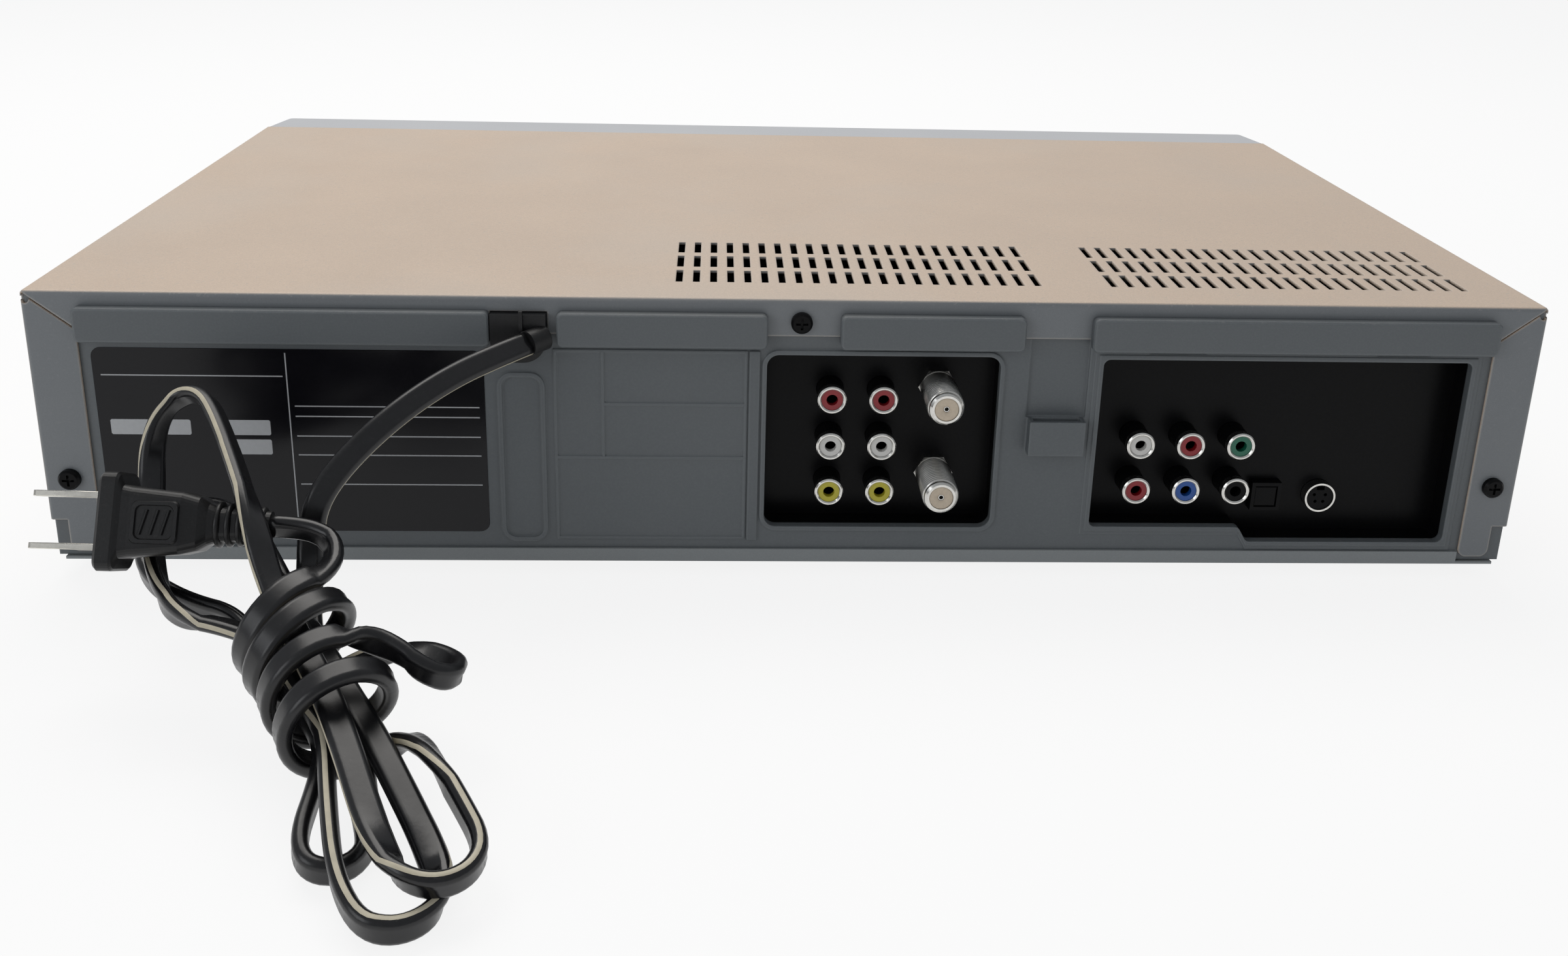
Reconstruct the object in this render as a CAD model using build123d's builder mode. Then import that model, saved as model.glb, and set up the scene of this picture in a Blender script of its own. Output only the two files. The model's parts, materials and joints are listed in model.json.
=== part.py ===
"""Combined disc player and video cassette recorder, seen most from behind.

Row frame in millimetres: +X to the right seen from the front, +Y to the rear, +Z up.
The origin is on the table, under the middle of the housing.
"""

import os
from math import atan2, ceil, cos, degrees, dist, hypot, pi, radians, sin, tan

from build123d import *

# ---------------------------------------------------------------- driving dimensions
# Housing
body_width = 430.0  # over the cover's side walls
body_height = 81.5  # cover top to the underside of the bottom plate
foot_height = 4.5
cover_depth = 237.6  # rear flange to the joint with the front panel
bezel_depth = 21.4
sheet = 0.8  # steel of the cover and the bottom plate
wall = 2.2  # moulded walls
gap = 0.3  # between separate pieces that lie side by side
seat = 0.1  # between a piece and what carries it
bend = 1.2  # outside radius of the cover's folds

# Cover
side_height = 69.0  # cover's side walls
flange_drop = 10.85  # rear flange under the top edge
flange_width = 14.1  # rear flange beside each edge
flange_length = 79.0  # the side flanges reach down this far
flange_inset = 5.0  # the side flanges' tabs clear the chassis ledges
seam = 0.5
relief_hole_r = 1.3
vent_length = 12.0
vent_width = 2.0
vent_pitch = 5.0
vent_row_pitch = 15.75
vent_columns = 22
vent_rows = 3
vent_rear = 22.2  # rear edge to the first row's middle
vent_middles = (-17.55, -145.2)
screw_down = 6.7  # upper rear screw below the top
side_screw_down = 56.0
side_screw_in = 7.4

# Rear panel, with drops measured from the cover's top
hook_top_drop = 3.9
hook_height = 10.0
hook_wall = 2.2
hooks = ((143.8, 113.2), (39.05, 58.9), (-37.2, 52.4), (-141.6, 117.8))  # middle, width
tape_window_x = -24.0
tape_window_width = 67.0
tape_window_drop = 16.6
tape_window_height = 53.6
disc_window_x = -141.3
disc_window_width = 108.2
disc_window_drop = 17.0
disc_window_height = 52.8
disc_step_height = 4.7  # the window's deeper part
disc_step_width = 60.0
window_r = 3.5
rim_width = 1.3
rim_height = 0.7
tongue_x = 79.2
tongue_width = 13.4
tongue_drop = 22.7
tongue_length = 52.6
field_x = 42.5
field_width = 55.0
field_drop = 15.6
field_height = 59.0
field_column = 13.9  # left column of the framed field
keeper_x = -74.6
keeper_width = 16.2
keeper_drop = 35.2
keeper_height = 10.4
keeper_reach = 4.2
channel_width = 17.3
core_slots = ((-30.5, 17.0), (-108.6, 17.0), (-174.8, 16.2))  # slots under the hooks
slot_height = 1.0
gland_x = 79.2
gland_width = 15.4
gland_height = 14.0
gland_drop = 4.6  # gland's top below the cover's top
gland_plate = 3.6
gland_stub = 6.0
gland_neck_width = 11.0
gland_neck_height = 8.0

# Jacks
pocket_depth = 10.0  # rear plane to the pocket's floor
pocket_wall = 1.6
phono_r = 4.0
phono_ring_r = 4.2
phono_ring_length = 2.6
phono_bore_r = 1.65
phono_insert_r = 3.1
phono_pitch_x = 14.9
phono_pitch_z = 14.4
tape_phono_x = -16.9  # middle of the two columns
tape_phono_drop = 44.7  # middle row
disc_phono_x = -115.5  # middle column
disc_phono_drop = 51.0  # middle of the two rows
barrel_r = 4.75
barrel_x = -41.0
barrel_drops = (28.9, 56.1)
barrel_reach = 10.0  # aerial barrels behind the rear plane
video_x = -158.9
video_drop = 62.8
video_r = 4.65
optical_x = -142.4
optical_drop = 62.8
optical_size = 9.0
shutter_size = 6.2

# Front
button_proud = 1.5
button_travel = 1.0
tray_x = -125.0
tray_width = 128.0
tray_thickness = 7.0
tray_length = 150.0
tray_travel = 128.0
tray_front_width = 133.4
tray_front_height = 12.4
tray_middle_z = 63.5
disc_r = 60.5  # recess for a disc
disc_recess = 1.5
door_x = 95.0
door_width = 199.4
door_height = 30.4
door_top_z = 78.0
door_thickness = 2.2
door_pin_r = 1.2
window_width = 112.0
window_height = 20.0
window_z = 26.0
button_height = 8.0
button_z = 26.0
# name, middle, width
buttons = (
    ("power_button", -193.0, 15.0),
    ("tray_button", -160.0, 22.0),
    ("stop_button", 82.0, 22.0),
    ("rewind_button", 109.0, 18.0),
    ("play_button", 134.0, 24.0),
    ("forward_button", 159.0, 18.0),
)

# Disc drive
gear_teeth = 20
gear_module = 1.0
gear_thickness = 2.8
turntable_r = 13.0
cone_r = 7.4
tray_slot_width = 58.0
disc_middle_y = 72.0  # behind the front panel's face
sled_travel = 34.0
rod_r = 1.5
running = 0.05  # radial clearance of shafts and rods

# Tape deck
deck_width = 200.0
deck_depth = 176.0
deck_thickness = 1.6
deck_z = 23.0
drum_r = 31.0
drum_tilt = 5.5
cassette_width = 188.0
cassette_depth = 104.0
cassette_height = 25.0
holder_drop = 20.0
reel_spacing = 92.0
capstan_r = 2.0
flywheel_r = 22.0
pinch_r = 6.0
pinch_arm = 24.0
pinch_gap = 3.0  # between roller and capstan while stopped

# Mains lead
cord_d = 5.2  # round tube of the flat lead's section area

# ---------------------------------------------------------------- levels and planes
base_z = foot_height
top_z = base_z + body_height
half_w = body_width / 2
rear_y = (cover_depth + bezel_depth + button_proud - barrel_reach) / 2
joint_y = rear_y - cover_depth
face_y = joint_y - bezel_depth
floor_z = base_z + sheet + seat + 2.0  # top of the chassis floor
panel_y = rear_y - sheet - seat  # rear panel's outer face
panel_in_y = panel_y - wall
hook_in_y = rear_y + gap  # hooks' inner face, past the cover's flange
hook_out_y = hook_in_y + hook_wall + 1.0
pocket_y = rear_y - pocket_depth
inner_half_w = half_w - sheet - 2.3  # chassis walls, inside the cover
side_low_z = top_z - side_height


def facing_rear(y):
    """A plane whose normal is +Y; its local x runs to -X, its local y to +Z."""
    return Plane(origin=(0, y, 0), x_dir=(-1, 0, 0), z_dir=(0, 1, 0))


def facing_front(y):
    """A plane whose normal is -Y; its local x is X and its local y is Z."""
    return Plane(origin=(0, y, 0), x_dir=(1, 0, 0), z_dir=(0, -1, 0))


def save(piece, name):
    piece.part.label = name
    export_step(piece.part, f"parts/{name}.step")


def post(x, y, low, high, r, mode=Mode.ADD):
    """An upright cylinder between two heights."""
    with Locations((x, y, low)):
        Cylinder(r, high - low, align=(Align.CENTER, Align.CENTER, Align.MIN), mode=mode)


def block(x, y, z, mode=Mode.ADD):
    """A box between pairs of limits."""
    with Locations((x[0], y[0], z[0])):
        Box(x[1] - x[0], y[1] - y[0], z[1] - z[0], align=(Align.MIN,) * 3, mode=mode)


os.makedirs("parts", exist_ok=True)

# ---------------------------------------------------------------- top cover
with BuildPart() as top_cover:
    with BuildSketch(Plane.XY.offset(side_low_z)):
        with Locations((0, (joint_y + rear_y) / 2)):
            Rectangle(body_width, cover_depth)
    extrude(amount=side_height)
    folds = top_cover.edges().filter_by(Axis.Y).group_by(Axis.Z)[-1]
    folds += top_cover.edges().filter_by(Axis.X).group_by(Axis.Z)[-1].sort_by(Axis.Y)[-1:]
    folds += top_cover.edges().filter_by(Axis.Z).group_by(Axis.Y)[-1]
    fillet(folds, bend)
    # inside of the folded sheet
    with BuildSketch(facing_front(rear_y - sheet)):
        with Locations((0, side_low_z)):
            Rectangle(
                body_width - 2 * sheet,
                side_height - sheet,
                align=(Align.CENTER, Align.MIN),
            )
    extrude(amount=cover_depth, mode=Mode.SUBTRACT)
    # the rear wall is only flanges
    with BuildSketch(facing_rear(rear_y - 2 * sheet)):
        with Locations((0, side_low_z)):
            Rectangle(
                body_width - 2 * flange_width,
                side_height - flange_drop,
                align=(Align.CENTER, Align.MIN),
            )
    extrude(amount=3 * sheet, mode=Mode.SUBTRACT)
    # tabs of the side flanges
    tab_width = flange_width - flange_inset
    with BuildSketch(facing_rear(rear_y - sheet)) as tabs:
        for side in (-1, 1):
            with Locations((side * (half_w - flange_inset - tab_width / 2), side_low_z)):
                Rectangle(
                    tab_width,
                    flange_length - side_height,
                    align=(Align.CENTER, Align.MAX),
                )
        fillet(tabs.vertices().group_by(Axis.Y)[0], 2.5)
    extrude(amount=sheet)
    # mitre seams, corner relief holes and screw holes
    seam_angle = degrees(atan2(flange_drop, flange_width))
    seam_length = hypot(flange_drop, flange_width) * 2
    with BuildSketch(facing_rear(rear_y - 2 * sheet)):
        for side in (-1, 1):
            with Locations(Location((side * (half_w - sheet), top_z - sheet), side * seam_angle)):
                Rectangle(seam_length, seam)
            with Locations((side * (half_w - bend), top_z - 2 * bend)):
                Circle(relief_hole_r)
            with Locations((side * (half_w - side_screw_in), top_z - side_screw_down)):
                Circle(1.6)
        with Locations((0, top_z - screw_down)):
            Circle(1.6)
    extrude(amount=sheet * 2, mode=Mode.SUBTRACT)
    # notch round the mains lead's gland
    with BuildSketch(facing_rear(rear_y - sheet)):
        with Locations((-gland_x, top_z - gland_drop + gap)):
            Rectangle(gland_width + 2 * gap, flange_drop, align=(Align.CENTER, Align.MAX))
    extrude(amount=sheet, mode=Mode.SUBTRACT)
    # vents
    vent_middle_y = rear_y - vent_rear - (vent_rows - 1) * vent_row_pitch / 2
    with BuildSketch(Plane.XY.offset(top_z)):
        with Locations([(x, vent_middle_y) for x in vent_middles]):
            with GridLocations(vent_pitch, vent_row_pitch, vent_columns, vent_rows):
                Rectangle(vent_width, vent_length)
    extrude(amount=-2 * sheet, mode=Mode.SUBTRACT)
save(top_cover, "top_cover")

# ---------------------------------------------------------------- bottom plate and feet
plate_half_w = inner_half_w
plate_front_y = joint_y + gap
strip_height = 4.0  # its rear flange
foot_spots = [(x, y) for x in (-168.0, 168.0) for y in (joint_y + 24.0, rear_y - 34.0)]
with BuildPart() as bottom_plate:
    with BuildSketch(Plane.XY.offset(base_z)):
        with Locations((0, (plate_front_y + rear_y) / 2)):
            Rectangle(2 * plate_half_w, rear_y - plate_front_y)
    extrude(amount=sheet)
    with BuildSketch(Plane.XY.offset(base_z)):
        with Locations((0, rear_y)):
            Rectangle(
                body_width - 2 * flange_width - 2 * gap,
                sheet,
                align=(Align.CENTER, Align.MAX),
            )
    extrude(amount=strip_height)
    with BuildSketch(Plane.XY.offset(base_z)):
        with Locations((tray_x, 0), (door_x, 0)):
            with GridLocations(12, 60, 9, 2):
                Rectangle(3, 30)
    extrude(amount=sheet, mode=Mode.SUBTRACT)
save(bottom_plate, "bottom_plate")

foot_r = 11.0
with BuildPart() as feet:
    with Locations([(x, y, 0) for x, y in foot_spots]):
        Cone(foot_r - 1.5, foot_r, foot_height, align=(Align.CENTER, Align.CENTER, Align.MIN))
    with Locations([(x, y, 0) for x, y in foot_spots]):
        Cylinder(
            foot_r - 4,
            1.0,
            align=(Align.CENTER, Align.CENTER, Align.MIN),
            mode=Mode.SUBTRACT,
        )
save(feet, "feet")

# ---------------------------------------------------------------- deck and drive places
gear_r = gear_teeth * gear_module / 2
tray_low_z = tray_middle_z - tray_thickness / 2
tray_top_z = tray_low_z + tray_thickness
loader_wall = 2.0
loader_half_w = tray_width / 2 + gap + loader_wall
loader_front_y = face_y + 17.5
loader_depth = 152.0
loader_z = tray_low_z - 22.0
disc_y = face_y + disc_middle_y
deck_front_y = face_y + 34.0
deck_rear_y = deck_front_y + deck_depth
board_z = floor_z + 4.0  # underside of the main and power boards
board_thickness = 1.6
board_rear_y = pocket_y - pocket_wall - gap
main_board_depth = 42.0
main_board_x = (-202.0, 22.0)
power_board_x = (30.0, 204.0)
post_r = 3.5
loader_posts = [
    (tray_x + sx * (loader_half_w - 8), y)
    for sx in (-1, 1)
    for y in (loader_front_y + 20, loader_front_y + loader_depth - 12)
]
deck_posts = [
    (door_x + sx * (deck_width / 2 - 8), y)
    for sx in (-1, 1)
    for y in (deck_front_y + 10, deck_rear_y - 10)
]
board_posts = [
    (x, y)
    for x in (
        main_board_x[0] + 8,
        sum(main_board_x) / 2,
        main_board_x[1] - 8,
        power_board_x[0] + 6,
        power_board_x[1] - 6,
    )
    for y in (board_rear_y - 4, board_rear_y - main_board_depth + 6)
]

# ---------------------------------------------------------------- chassis frame
chassis_front_y = joint_y + gap
chassis_depth = panel_in_y - gap - chassis_front_y
chassis_mid_y = chassis_front_y + chassis_depth / 2
chassis_floor = floor_z - base_z - sheet - seat
chassis_wall_height = 34.0
ledge_height = 3.2
with BuildPart() as chassis_frame:
    with BuildSketch(Plane.XY.offset(floor_z - chassis_floor)):
        with Locations((0, chassis_mid_y)):
            Rectangle(2 * inner_half_w, chassis_depth)
    extrude(amount=chassis_floor)
    # service openings in the floor
    with BuildSketch(Plane.XY.offset(floor_z)):
        for x in (tray_x, door_x):
            with Locations((x, chassis_mid_y - 12)):
                with GridLocations(50, 50, 3, 3):
                    Rectangle(34, 34)
    extrude(amount=-chassis_floor, mode=Mode.SUBTRACT)
    # side and front walls
    with BuildSketch(Plane.XY.offset(floor_z)):
        with Locations((0, chassis_mid_y)):
            Rectangle(2 * inner_half_w, chassis_depth)
            with Locations((0, chassis_depth / 4)):
                Rectangle(2 * inner_half_w - 2 * wall, chassis_depth * 1.5 - 2 * wall, mode=Mode.SUBTRACT)
    extrude(amount=chassis_wall_height)
    with BuildSketch(Plane.XY.offset(floor_z + 3)):
        with Locations((0, chassis_front_y)):
            Rectangle(2 * inner_half_w - 2 * wall, 3 * wall)
    extrude(amount=chassis_wall_height, mode=Mode.SUBTRACT)
    # ledges under the cover's side walls, hooked at the outer edge
    for side in (-1, 1):
        with BuildSketch(facing_front(panel_in_y - gap)):
            with BuildLine():
                Polyline(
                    (side * (inner_half_w - wall / 2), side_low_z - gap),
                    (side * half_w, side_low_z - gap),
                    (side * half_w, side_low_z - gap - ledge_height * 0.5),
                    (side * (inner_half_w - wall / 2), side_low_z - gap - ledge_height * 1.6),
                    close=True,
                )
            make_face()
        extrude(amount=chassis_depth)
    # posts under the disc drive, the tape deck and the boards
    with Locations([(x, y, floor_z) for x, y in loader_posts]):
        Cylinder(post_r, loader_z - floor_z, align=(Align.CENTER, Align.CENTER, Align.MIN))
    with Locations([(x, y, floor_z) for x, y in deck_posts]):
        Cylinder(
            post_r,
            deck_z - deck_thickness - floor_z,
            align=(Align.CENTER, Align.CENTER, Align.MIN),
        )
    with Locations([(x, y, floor_z) for x, y in board_posts]):
        Cylinder(post_r, board_z - floor_z, align=(Align.CENTER, Align.CENTER, Align.MIN))
    # thrust post under the capstan
    post(door_x + 54.0, chassis_mid_y - 12 + 25.0, floor_z, floor_z + 4.3, 3.0)
save(chassis_frame, "chassis_frame")

# ---------------------------------------------------------------- rear panel
panel_low_z = base_z + sheet + gap
panel_high_z = top_z - sheet - gap
panel_half_w = half_w - sheet - gap
tape_window_z = top_z - tape_window_drop - tape_window_height / 2
disc_window_top = top_z - disc_window_drop
disc_window_low = disc_window_top - disc_window_height
disc_half = disc_window_width / 2
hook_z = top_z - hook_top_drop - hook_height / 2
gland_z = top_z - gland_drop - gland_height / 2


def disc_window_outline(spread):
    """Corners of the wide window: its floor steps down under the smaller jacks."""
    left = -disc_window_x - disc_half - spread
    right = -disc_window_x + disc_half + spread
    step = right - disc_step_width - spread
    low = disc_window_low - spread
    return (
        (left, disc_window_top + spread),
        (right, disc_window_top + spread),
        (right, low - disc_step_height),
        (step, low - disc_step_height),
        (step - disc_step_height * 0.6, low),
        (left, low),
    )


with BuildPart() as rear_panel:
    with BuildSketch(facing_rear(panel_in_y)):
        with Locations((0, panel_low_z)):
            Rectangle(
                2 * panel_half_w,
                panel_high_z - panel_low_z,
                align=(Align.CENTER, Align.MIN),
            )
    extrude(amount=wall)
    # raised rims round the windows
    with BuildSketch(facing_rear(panel_y)):
        with Locations((-tape_window_x, tape_window_z)):
            RectangleRounded(
                tape_window_width + 2 * rim_width,
                tape_window_height + 2 * rim_width,
                window_r + rim_width,
            )
        with Locations((-field_x + field_width / 2 + 2.0, top_z - field_drop)):
            Rectangle(3.0, field_height, align=(Align.CENTER, Align.MAX))
    extrude(amount=rim_height)
    with BuildSketch(facing_rear(panel_y)):
        with BuildLine():
            Polyline(*disc_window_outline(2 * rim_width), close=True)
        make_face()
    extrude(amount=rim_height * 0.5)
    with BuildSketch(facing_rear(panel_y)):
        with BuildLine():
            Polyline(*disc_window_outline(rim_width), close=True)
        make_face()
    extrude(amount=rim_height)
    # the framed field: a border with three cross lines
    with BuildSketch(facing_rear(panel_y)):
        field_line = 0.8
        with Locations((-field_x, top_z - field_drop - field_height / 2)):
            Rectangle(field_width, field_height)
            Rectangle(field_width - 2 * field_line, field_height - 2 * field_line, mode=Mode.SUBTRACT)
        left = -field_x - field_width / 2
        upper = field_height * 0.56
        with Locations((left, top_z - field_drop - upper)):
            Rectangle(field_width, field_line, align=(Align.MIN, Align.CENTER))
        with Locations((left + field_column, top_z - field_drop)):
            Rectangle(field_line, upper, align=(Align.CENTER, Align.MAX))
        with Locations((left + field_column, top_z - field_drop - upper / 2)):
            Rectangle(field_width - field_column, field_line, align=(Align.MIN, Align.CENTER))
    extrude(amount=0.4)
    # the tongue: a U-shaped rib under the mains lead's gland
    with BuildSketch(facing_rear(panel_y)):
        with Locations((-tongue_x, top_z - tongue_drop - tongue_length / 2)):
            RectangleRounded(tongue_width, tongue_length, 4.3)
            RectangleRounded(
                tongue_width - 2 * rim_width,
                tongue_length - 2 * rim_width,
                4.3 - rim_width,
                mode=Mode.SUBTRACT,
            )
    extrude(amount=rim_height)
    # hooks over the cover's rear flange
    with BuildSketch(facing_rear(hook_in_y)):
        for x, width in hooks:
            with Locations((-x, hook_z)):
                RectangleRounded(width, hook_height, 1.6)
    extrude(amount=hook_out_y - hook_in_y)
    chamfer(rear_panel.faces().sort_by(Axis.Y)[-4:].edges(), 0.5)
    web_top = top_z - flange_drop - gap
    with BuildSketch(facing_rear(panel_y)):
        for x, width in hooks:
            with Locations((-x, hook_z - hook_height / 2)):
                Rectangle(
                    width - 4,
                    web_top - hook_z + hook_height / 2,
                    align=(Align.CENTER, Align.MIN),
                )
    extrude(amount=hook_in_y - panel_y)
    # cord keeper: a hook that opens upwards, under a shallow channel
    with BuildSketch(facing_rear(panel_y)):
        with Locations((-keeper_x, top_z - keeper_drop)):
            Rectangle(keeper_width, keeper_height, align=(Align.CENTER, Align.MAX))
    extrude(amount=keeper_reach)
    with BuildSketch(Plane.XY.offset(top_z - keeper_drop)):
        with Locations((keeper_x, panel_y)):
            Rectangle(keeper_width - 2.4, keeper_reach - 1.6, align=(Align.CENTER, Align.MIN))
    extrude(amount=-(keeper_height - 2.5), mode=Mode.SUBTRACT)
    with BuildSketch(facing_rear(panel_y)):
        with Locations((-keeper_x, top_z - flange_drop)):
            Rectangle(
                channel_width,
                keeper_drop - flange_drop,
                align=(Align.CENTER, Align.MAX),
            )
    extrude(amount=-0.9, mode=Mode.SUBTRACT)
    # windows, core slots, the gland's notch and screw holes
    with BuildSketch(facing_rear(panel_in_y)):
        with Locations((-tape_window_x, tape_window_z)):
            RectangleRounded(tape_window_width, tape_window_height, window_r)
    extrude(amount=4 * wall, mode=Mode.SUBTRACT)
    with BuildSketch(facing_rear(panel_in_y)) as wide_opening:
        with BuildLine():
            Polyline(*disc_window_outline(0), close=True)
        make_face()
        fillet(wide_opening.vertices(), 2.0)
    extrude(amount=4 * wall, mode=Mode.SUBTRACT)
    with BuildSketch(facing_rear(panel_in_y)):
        with Locations((-gland_x, gland_z)):
            Rectangle(gland_neck_width + 2 * seat, gland_neck_height + 2 * seat)
        for x, width in core_slots:
            with Locations((-x, hook_z - hook_height / 2 - 0.8 * slot_height)):
                Rectangle(width, slot_height)
        for side in (-1, 1):
            with Locations((side * (half_w - side_screw_in), top_z - side_screw_down)):
                Circle(1.55)
        with Locations((0, top_z - screw_down)):
            Circle(1.55)
    extrude(amount=wall + rim_height, mode=Mode.SUBTRACT)
save(rear_panel, "rear_panel")

# ---------------------------------------------------------------- jacks
board_top_z = board_z + board_thickness
stack_depth = 10.0
stack_margin = 6.0  # jack axis to the side of its stack
tape_phono_z = top_z - tape_phono_drop
disc_phono_z = top_z - disc_phono_drop
ring_y = rear_y - phono_ring_length
insert_recess = 0.6
tape_columns = [tape_phono_x + side * phono_pitch_x / 2 for side in (1, -1)]
disc_columns = [disc_phono_x + side * phono_pitch_x for side in (1, 0, -1)]
tape_rows = [tape_phono_z + row * phono_pitch_z for row in (1, 0, -1)]
disc_rows = [disc_phono_z + row * phono_pitch_z / 2 for row in (1, -1)]
tape_phonos = [(x, z) for z in tape_rows for x in tape_columns]
disc_phonos = [(x, z) for z in disc_rows for x in disc_columns]
digital_phono = disc_phonos[-1]
video_z = top_z - video_drop
optical_z = top_z - optical_drop
window_slack = 0.3  # the pockets stand this far outside the windows

with BuildPart() as tape_jack_housing:
    with BuildSketch(facing_rear(pocket_y - pocket_wall)):
        with Locations((-tape_window_x, tape_window_z)):
            RectangleRounded(
                tape_window_width + 2 * (pocket_wall + window_slack),
                tape_window_height + 2 * (pocket_wall + window_slack),
                window_r,
            )
    extrude(amount=panel_in_y - pocket_y + pocket_wall)
    with BuildSketch(facing_rear(pocket_y)):
        with Locations((-tape_window_x, tape_window_z)):
            RectangleRounded(
                tape_window_width + 2 * window_slack,
                tape_window_height + 2 * window_slack,
                window_r,
            )
    extrude(amount=pocket_depth, mode=Mode.SUBTRACT)
    with BuildSketch(facing_rear(pocket_y)):
        with Locations([(-x, z) for x, z in tape_phonos]):
            Circle(phono_r + seat)
        with Locations([(-barrel_x, top_z - drop) for drop in barrel_drops]):
            Circle(barrel_r + seat)
    extrude(amount=-pocket_wall, mode=Mode.SUBTRACT)
save(tape_jack_housing, "tape_jack_housing")

with BuildPart() as disc_jack_housing:
    with BuildSketch(facing_rear(pocket_y - pocket_wall)):
        with BuildLine():
            Polyline(*disc_window_outline(pocket_wall + window_slack), close=True)
        make_face()
    extrude(amount=panel_in_y - pocket_y + pocket_wall)
    with BuildSketch(facing_rear(pocket_y)) as pocket:
        with BuildLine():
            Polyline(*disc_window_outline(window_slack), close=True)
        make_face()
        fillet(pocket.vertices(), 1.5)
    extrude(amount=pocket_depth, mode=Mode.SUBTRACT)
    with BuildSketch(facing_rear(pocket_y)):
        with Locations([(-x, z) for x, z in disc_phonos]):
            Circle(phono_r + seat)
        with Locations((-video_x, video_z)):
            Circle(video_r + seat)
        with Locations((-optical_x, optical_z)):
            Rectangle(optical_size + 2 * seat, optical_size + 2 * seat)
    extrude(amount=-pocket_wall, mode=Mode.SUBTRACT)
save(disc_jack_housing, "disc_jack_housing")

with BuildPart() as phono_bodies:
    for columns, rows in ((tape_columns, tape_rows), (disc_columns, disc_rows)):
        stack_top = max(rows) + stack_margin
        stack_width = max(columns) - min(columns) + 2 * stack_margin
        with BuildSketch(Plane.XY.offset(board_top_z)):
            with Locations((sum(columns) / len(columns), board_rear_y)):
                Rectangle(stack_width, stack_depth, align=(Align.CENTER, Align.MAX))
        extrude(amount=stack_top - board_top_z)
    with BuildSketch(facing_rear(board_rear_y)):
        with Locations([(-x, z) for x, z in tape_phonos + disc_phonos]):
            Circle(phono_r)
    extrude(amount=ring_y - board_rear_y)
    with BuildSketch(facing_rear(ring_y)):
        with Locations((-digital_phono[0], digital_phono[1])):
            Circle(phono_insert_r)
    extrude(amount=phono_ring_length - insert_recess)
    with BuildSketch(facing_rear(rear_y)):
        with Locations([(-x, z) for x, z in tape_phonos + disc_phonos]):
            Circle(phono_bore_r)
    extrude(amount=-10.0, mode=Mode.SUBTRACT)
save(phono_bodies, "phono_bodies")

shield_wall = 0.55
video_face_y = pocket_y + 3.6
with BuildPart() as jack_rings:
    with BuildSketch(facing_rear(ring_y)):
        with Locations([(-x, z) for x, z in tape_phonos + disc_phonos]):
            Circle(phono_ring_r)
            Circle(phono_insert_r + running, mode=Mode.SUBTRACT)
    extrude(amount=phono_ring_length)
    chamfer(jack_rings.faces().group_by(Axis.Y)[-1].edges(), 0.35)
    with BuildSketch(facing_rear(pocket_y)):
        with Locations((-video_x, video_z)):
            Circle(video_r)
            Circle(video_r - shield_wall, mode=Mode.SUBTRACT)
    extrude(amount=video_face_y - pocket_y)
save(jack_rings, "jack_rings")

inserts = {
    "phono_inserts_red": tape_phonos[0:2] + [disc_phonos[1], disc_phonos[3]],
    "phono_inserts_white": tape_phonos[2:4] + [disc_phonos[0]],
    "phono_inserts_yellow": tape_phonos[4:6],
    "phono_insert_green": [disc_phonos[2]],
    "phono_insert_blue": [disc_phonos[4]],
}
for name, spots in inserts.items():
    with BuildPart() as phono_inserts:
        with BuildSketch(facing_rear(ring_y)):
            with Locations([(-x, z) for x, z in spots]):
                Circle(phono_insert_r)
                Circle(phono_bore_r, mode=Mode.SUBTRACT)
        extrude(amount=phono_ring_length - insert_recess)
    save(phono_inserts, name)

collar_r = 5.8
barrel_bore_r = 3.5
contact_r = 0.6
with BuildPart() as aerial_barrels:
    barrel_spots = [(-barrel_x, top_z - drop) for drop in barrel_drops]
    with BuildSketch(facing_rear(board_rear_y)):
        with Locations(barrel_spots):
            Circle(barrel_r)
    extrude(amount=rear_y + barrel_reach - board_rear_y)
    chamfer(aerial_barrels.faces().group_by(Axis.Y)[-1].edges(), 0.6)
    with BuildSketch(facing_rear(pocket_y + seat)):
        with Locations(barrel_spots):
            RegularPolygon(collar_r, 6)
    extrude(amount=1.8)
    with BuildSketch(facing_rear(rear_y + barrel_reach)):
        with Locations(barrel_spots):
            Circle(barrel_bore_r)
    extrude(amount=-insert_recess, mode=Mode.SUBTRACT)
    with BuildSketch(facing_rear(rear_y + barrel_reach)):
        with Locations(barrel_spots):
            Circle(contact_r)
    extrude(amount=-8.0, mode=Mode.SUBTRACT)
save(aerial_barrels, "aerial_barrels")

with BuildPart() as video_jack:
    with BuildSketch(Plane.XY.offset(board_top_z)):
        with Locations((video_x, board_rear_y)):
            Rectangle(13.0, stack_depth, align=(Align.CENTER, Align.MAX))
    extrude(amount=video_z + 6.0 - board_top_z)
    with BuildSketch(facing_rear(board_rear_y)):
        with Locations((-video_x, video_z)):
            Circle(video_r - shield_wall - running)
    extrude(amount=video_face_y - 0.5 - board_rear_y)
    with BuildSketch(facing_rear(video_face_y)):
        with Locations((-video_x, video_z)):
            with Locations((-1.7, 0.8), (1.7, 0.8), (-1.2, -1.4), (1.2, -1.4)):
                Circle(0.5)
            with Locations((0, 2.9)):
                Rectangle(2.4, 1.2)
    extrude(amount=-4.0, mode=Mode.SUBTRACT)
save(video_jack, "video_jack")

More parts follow.
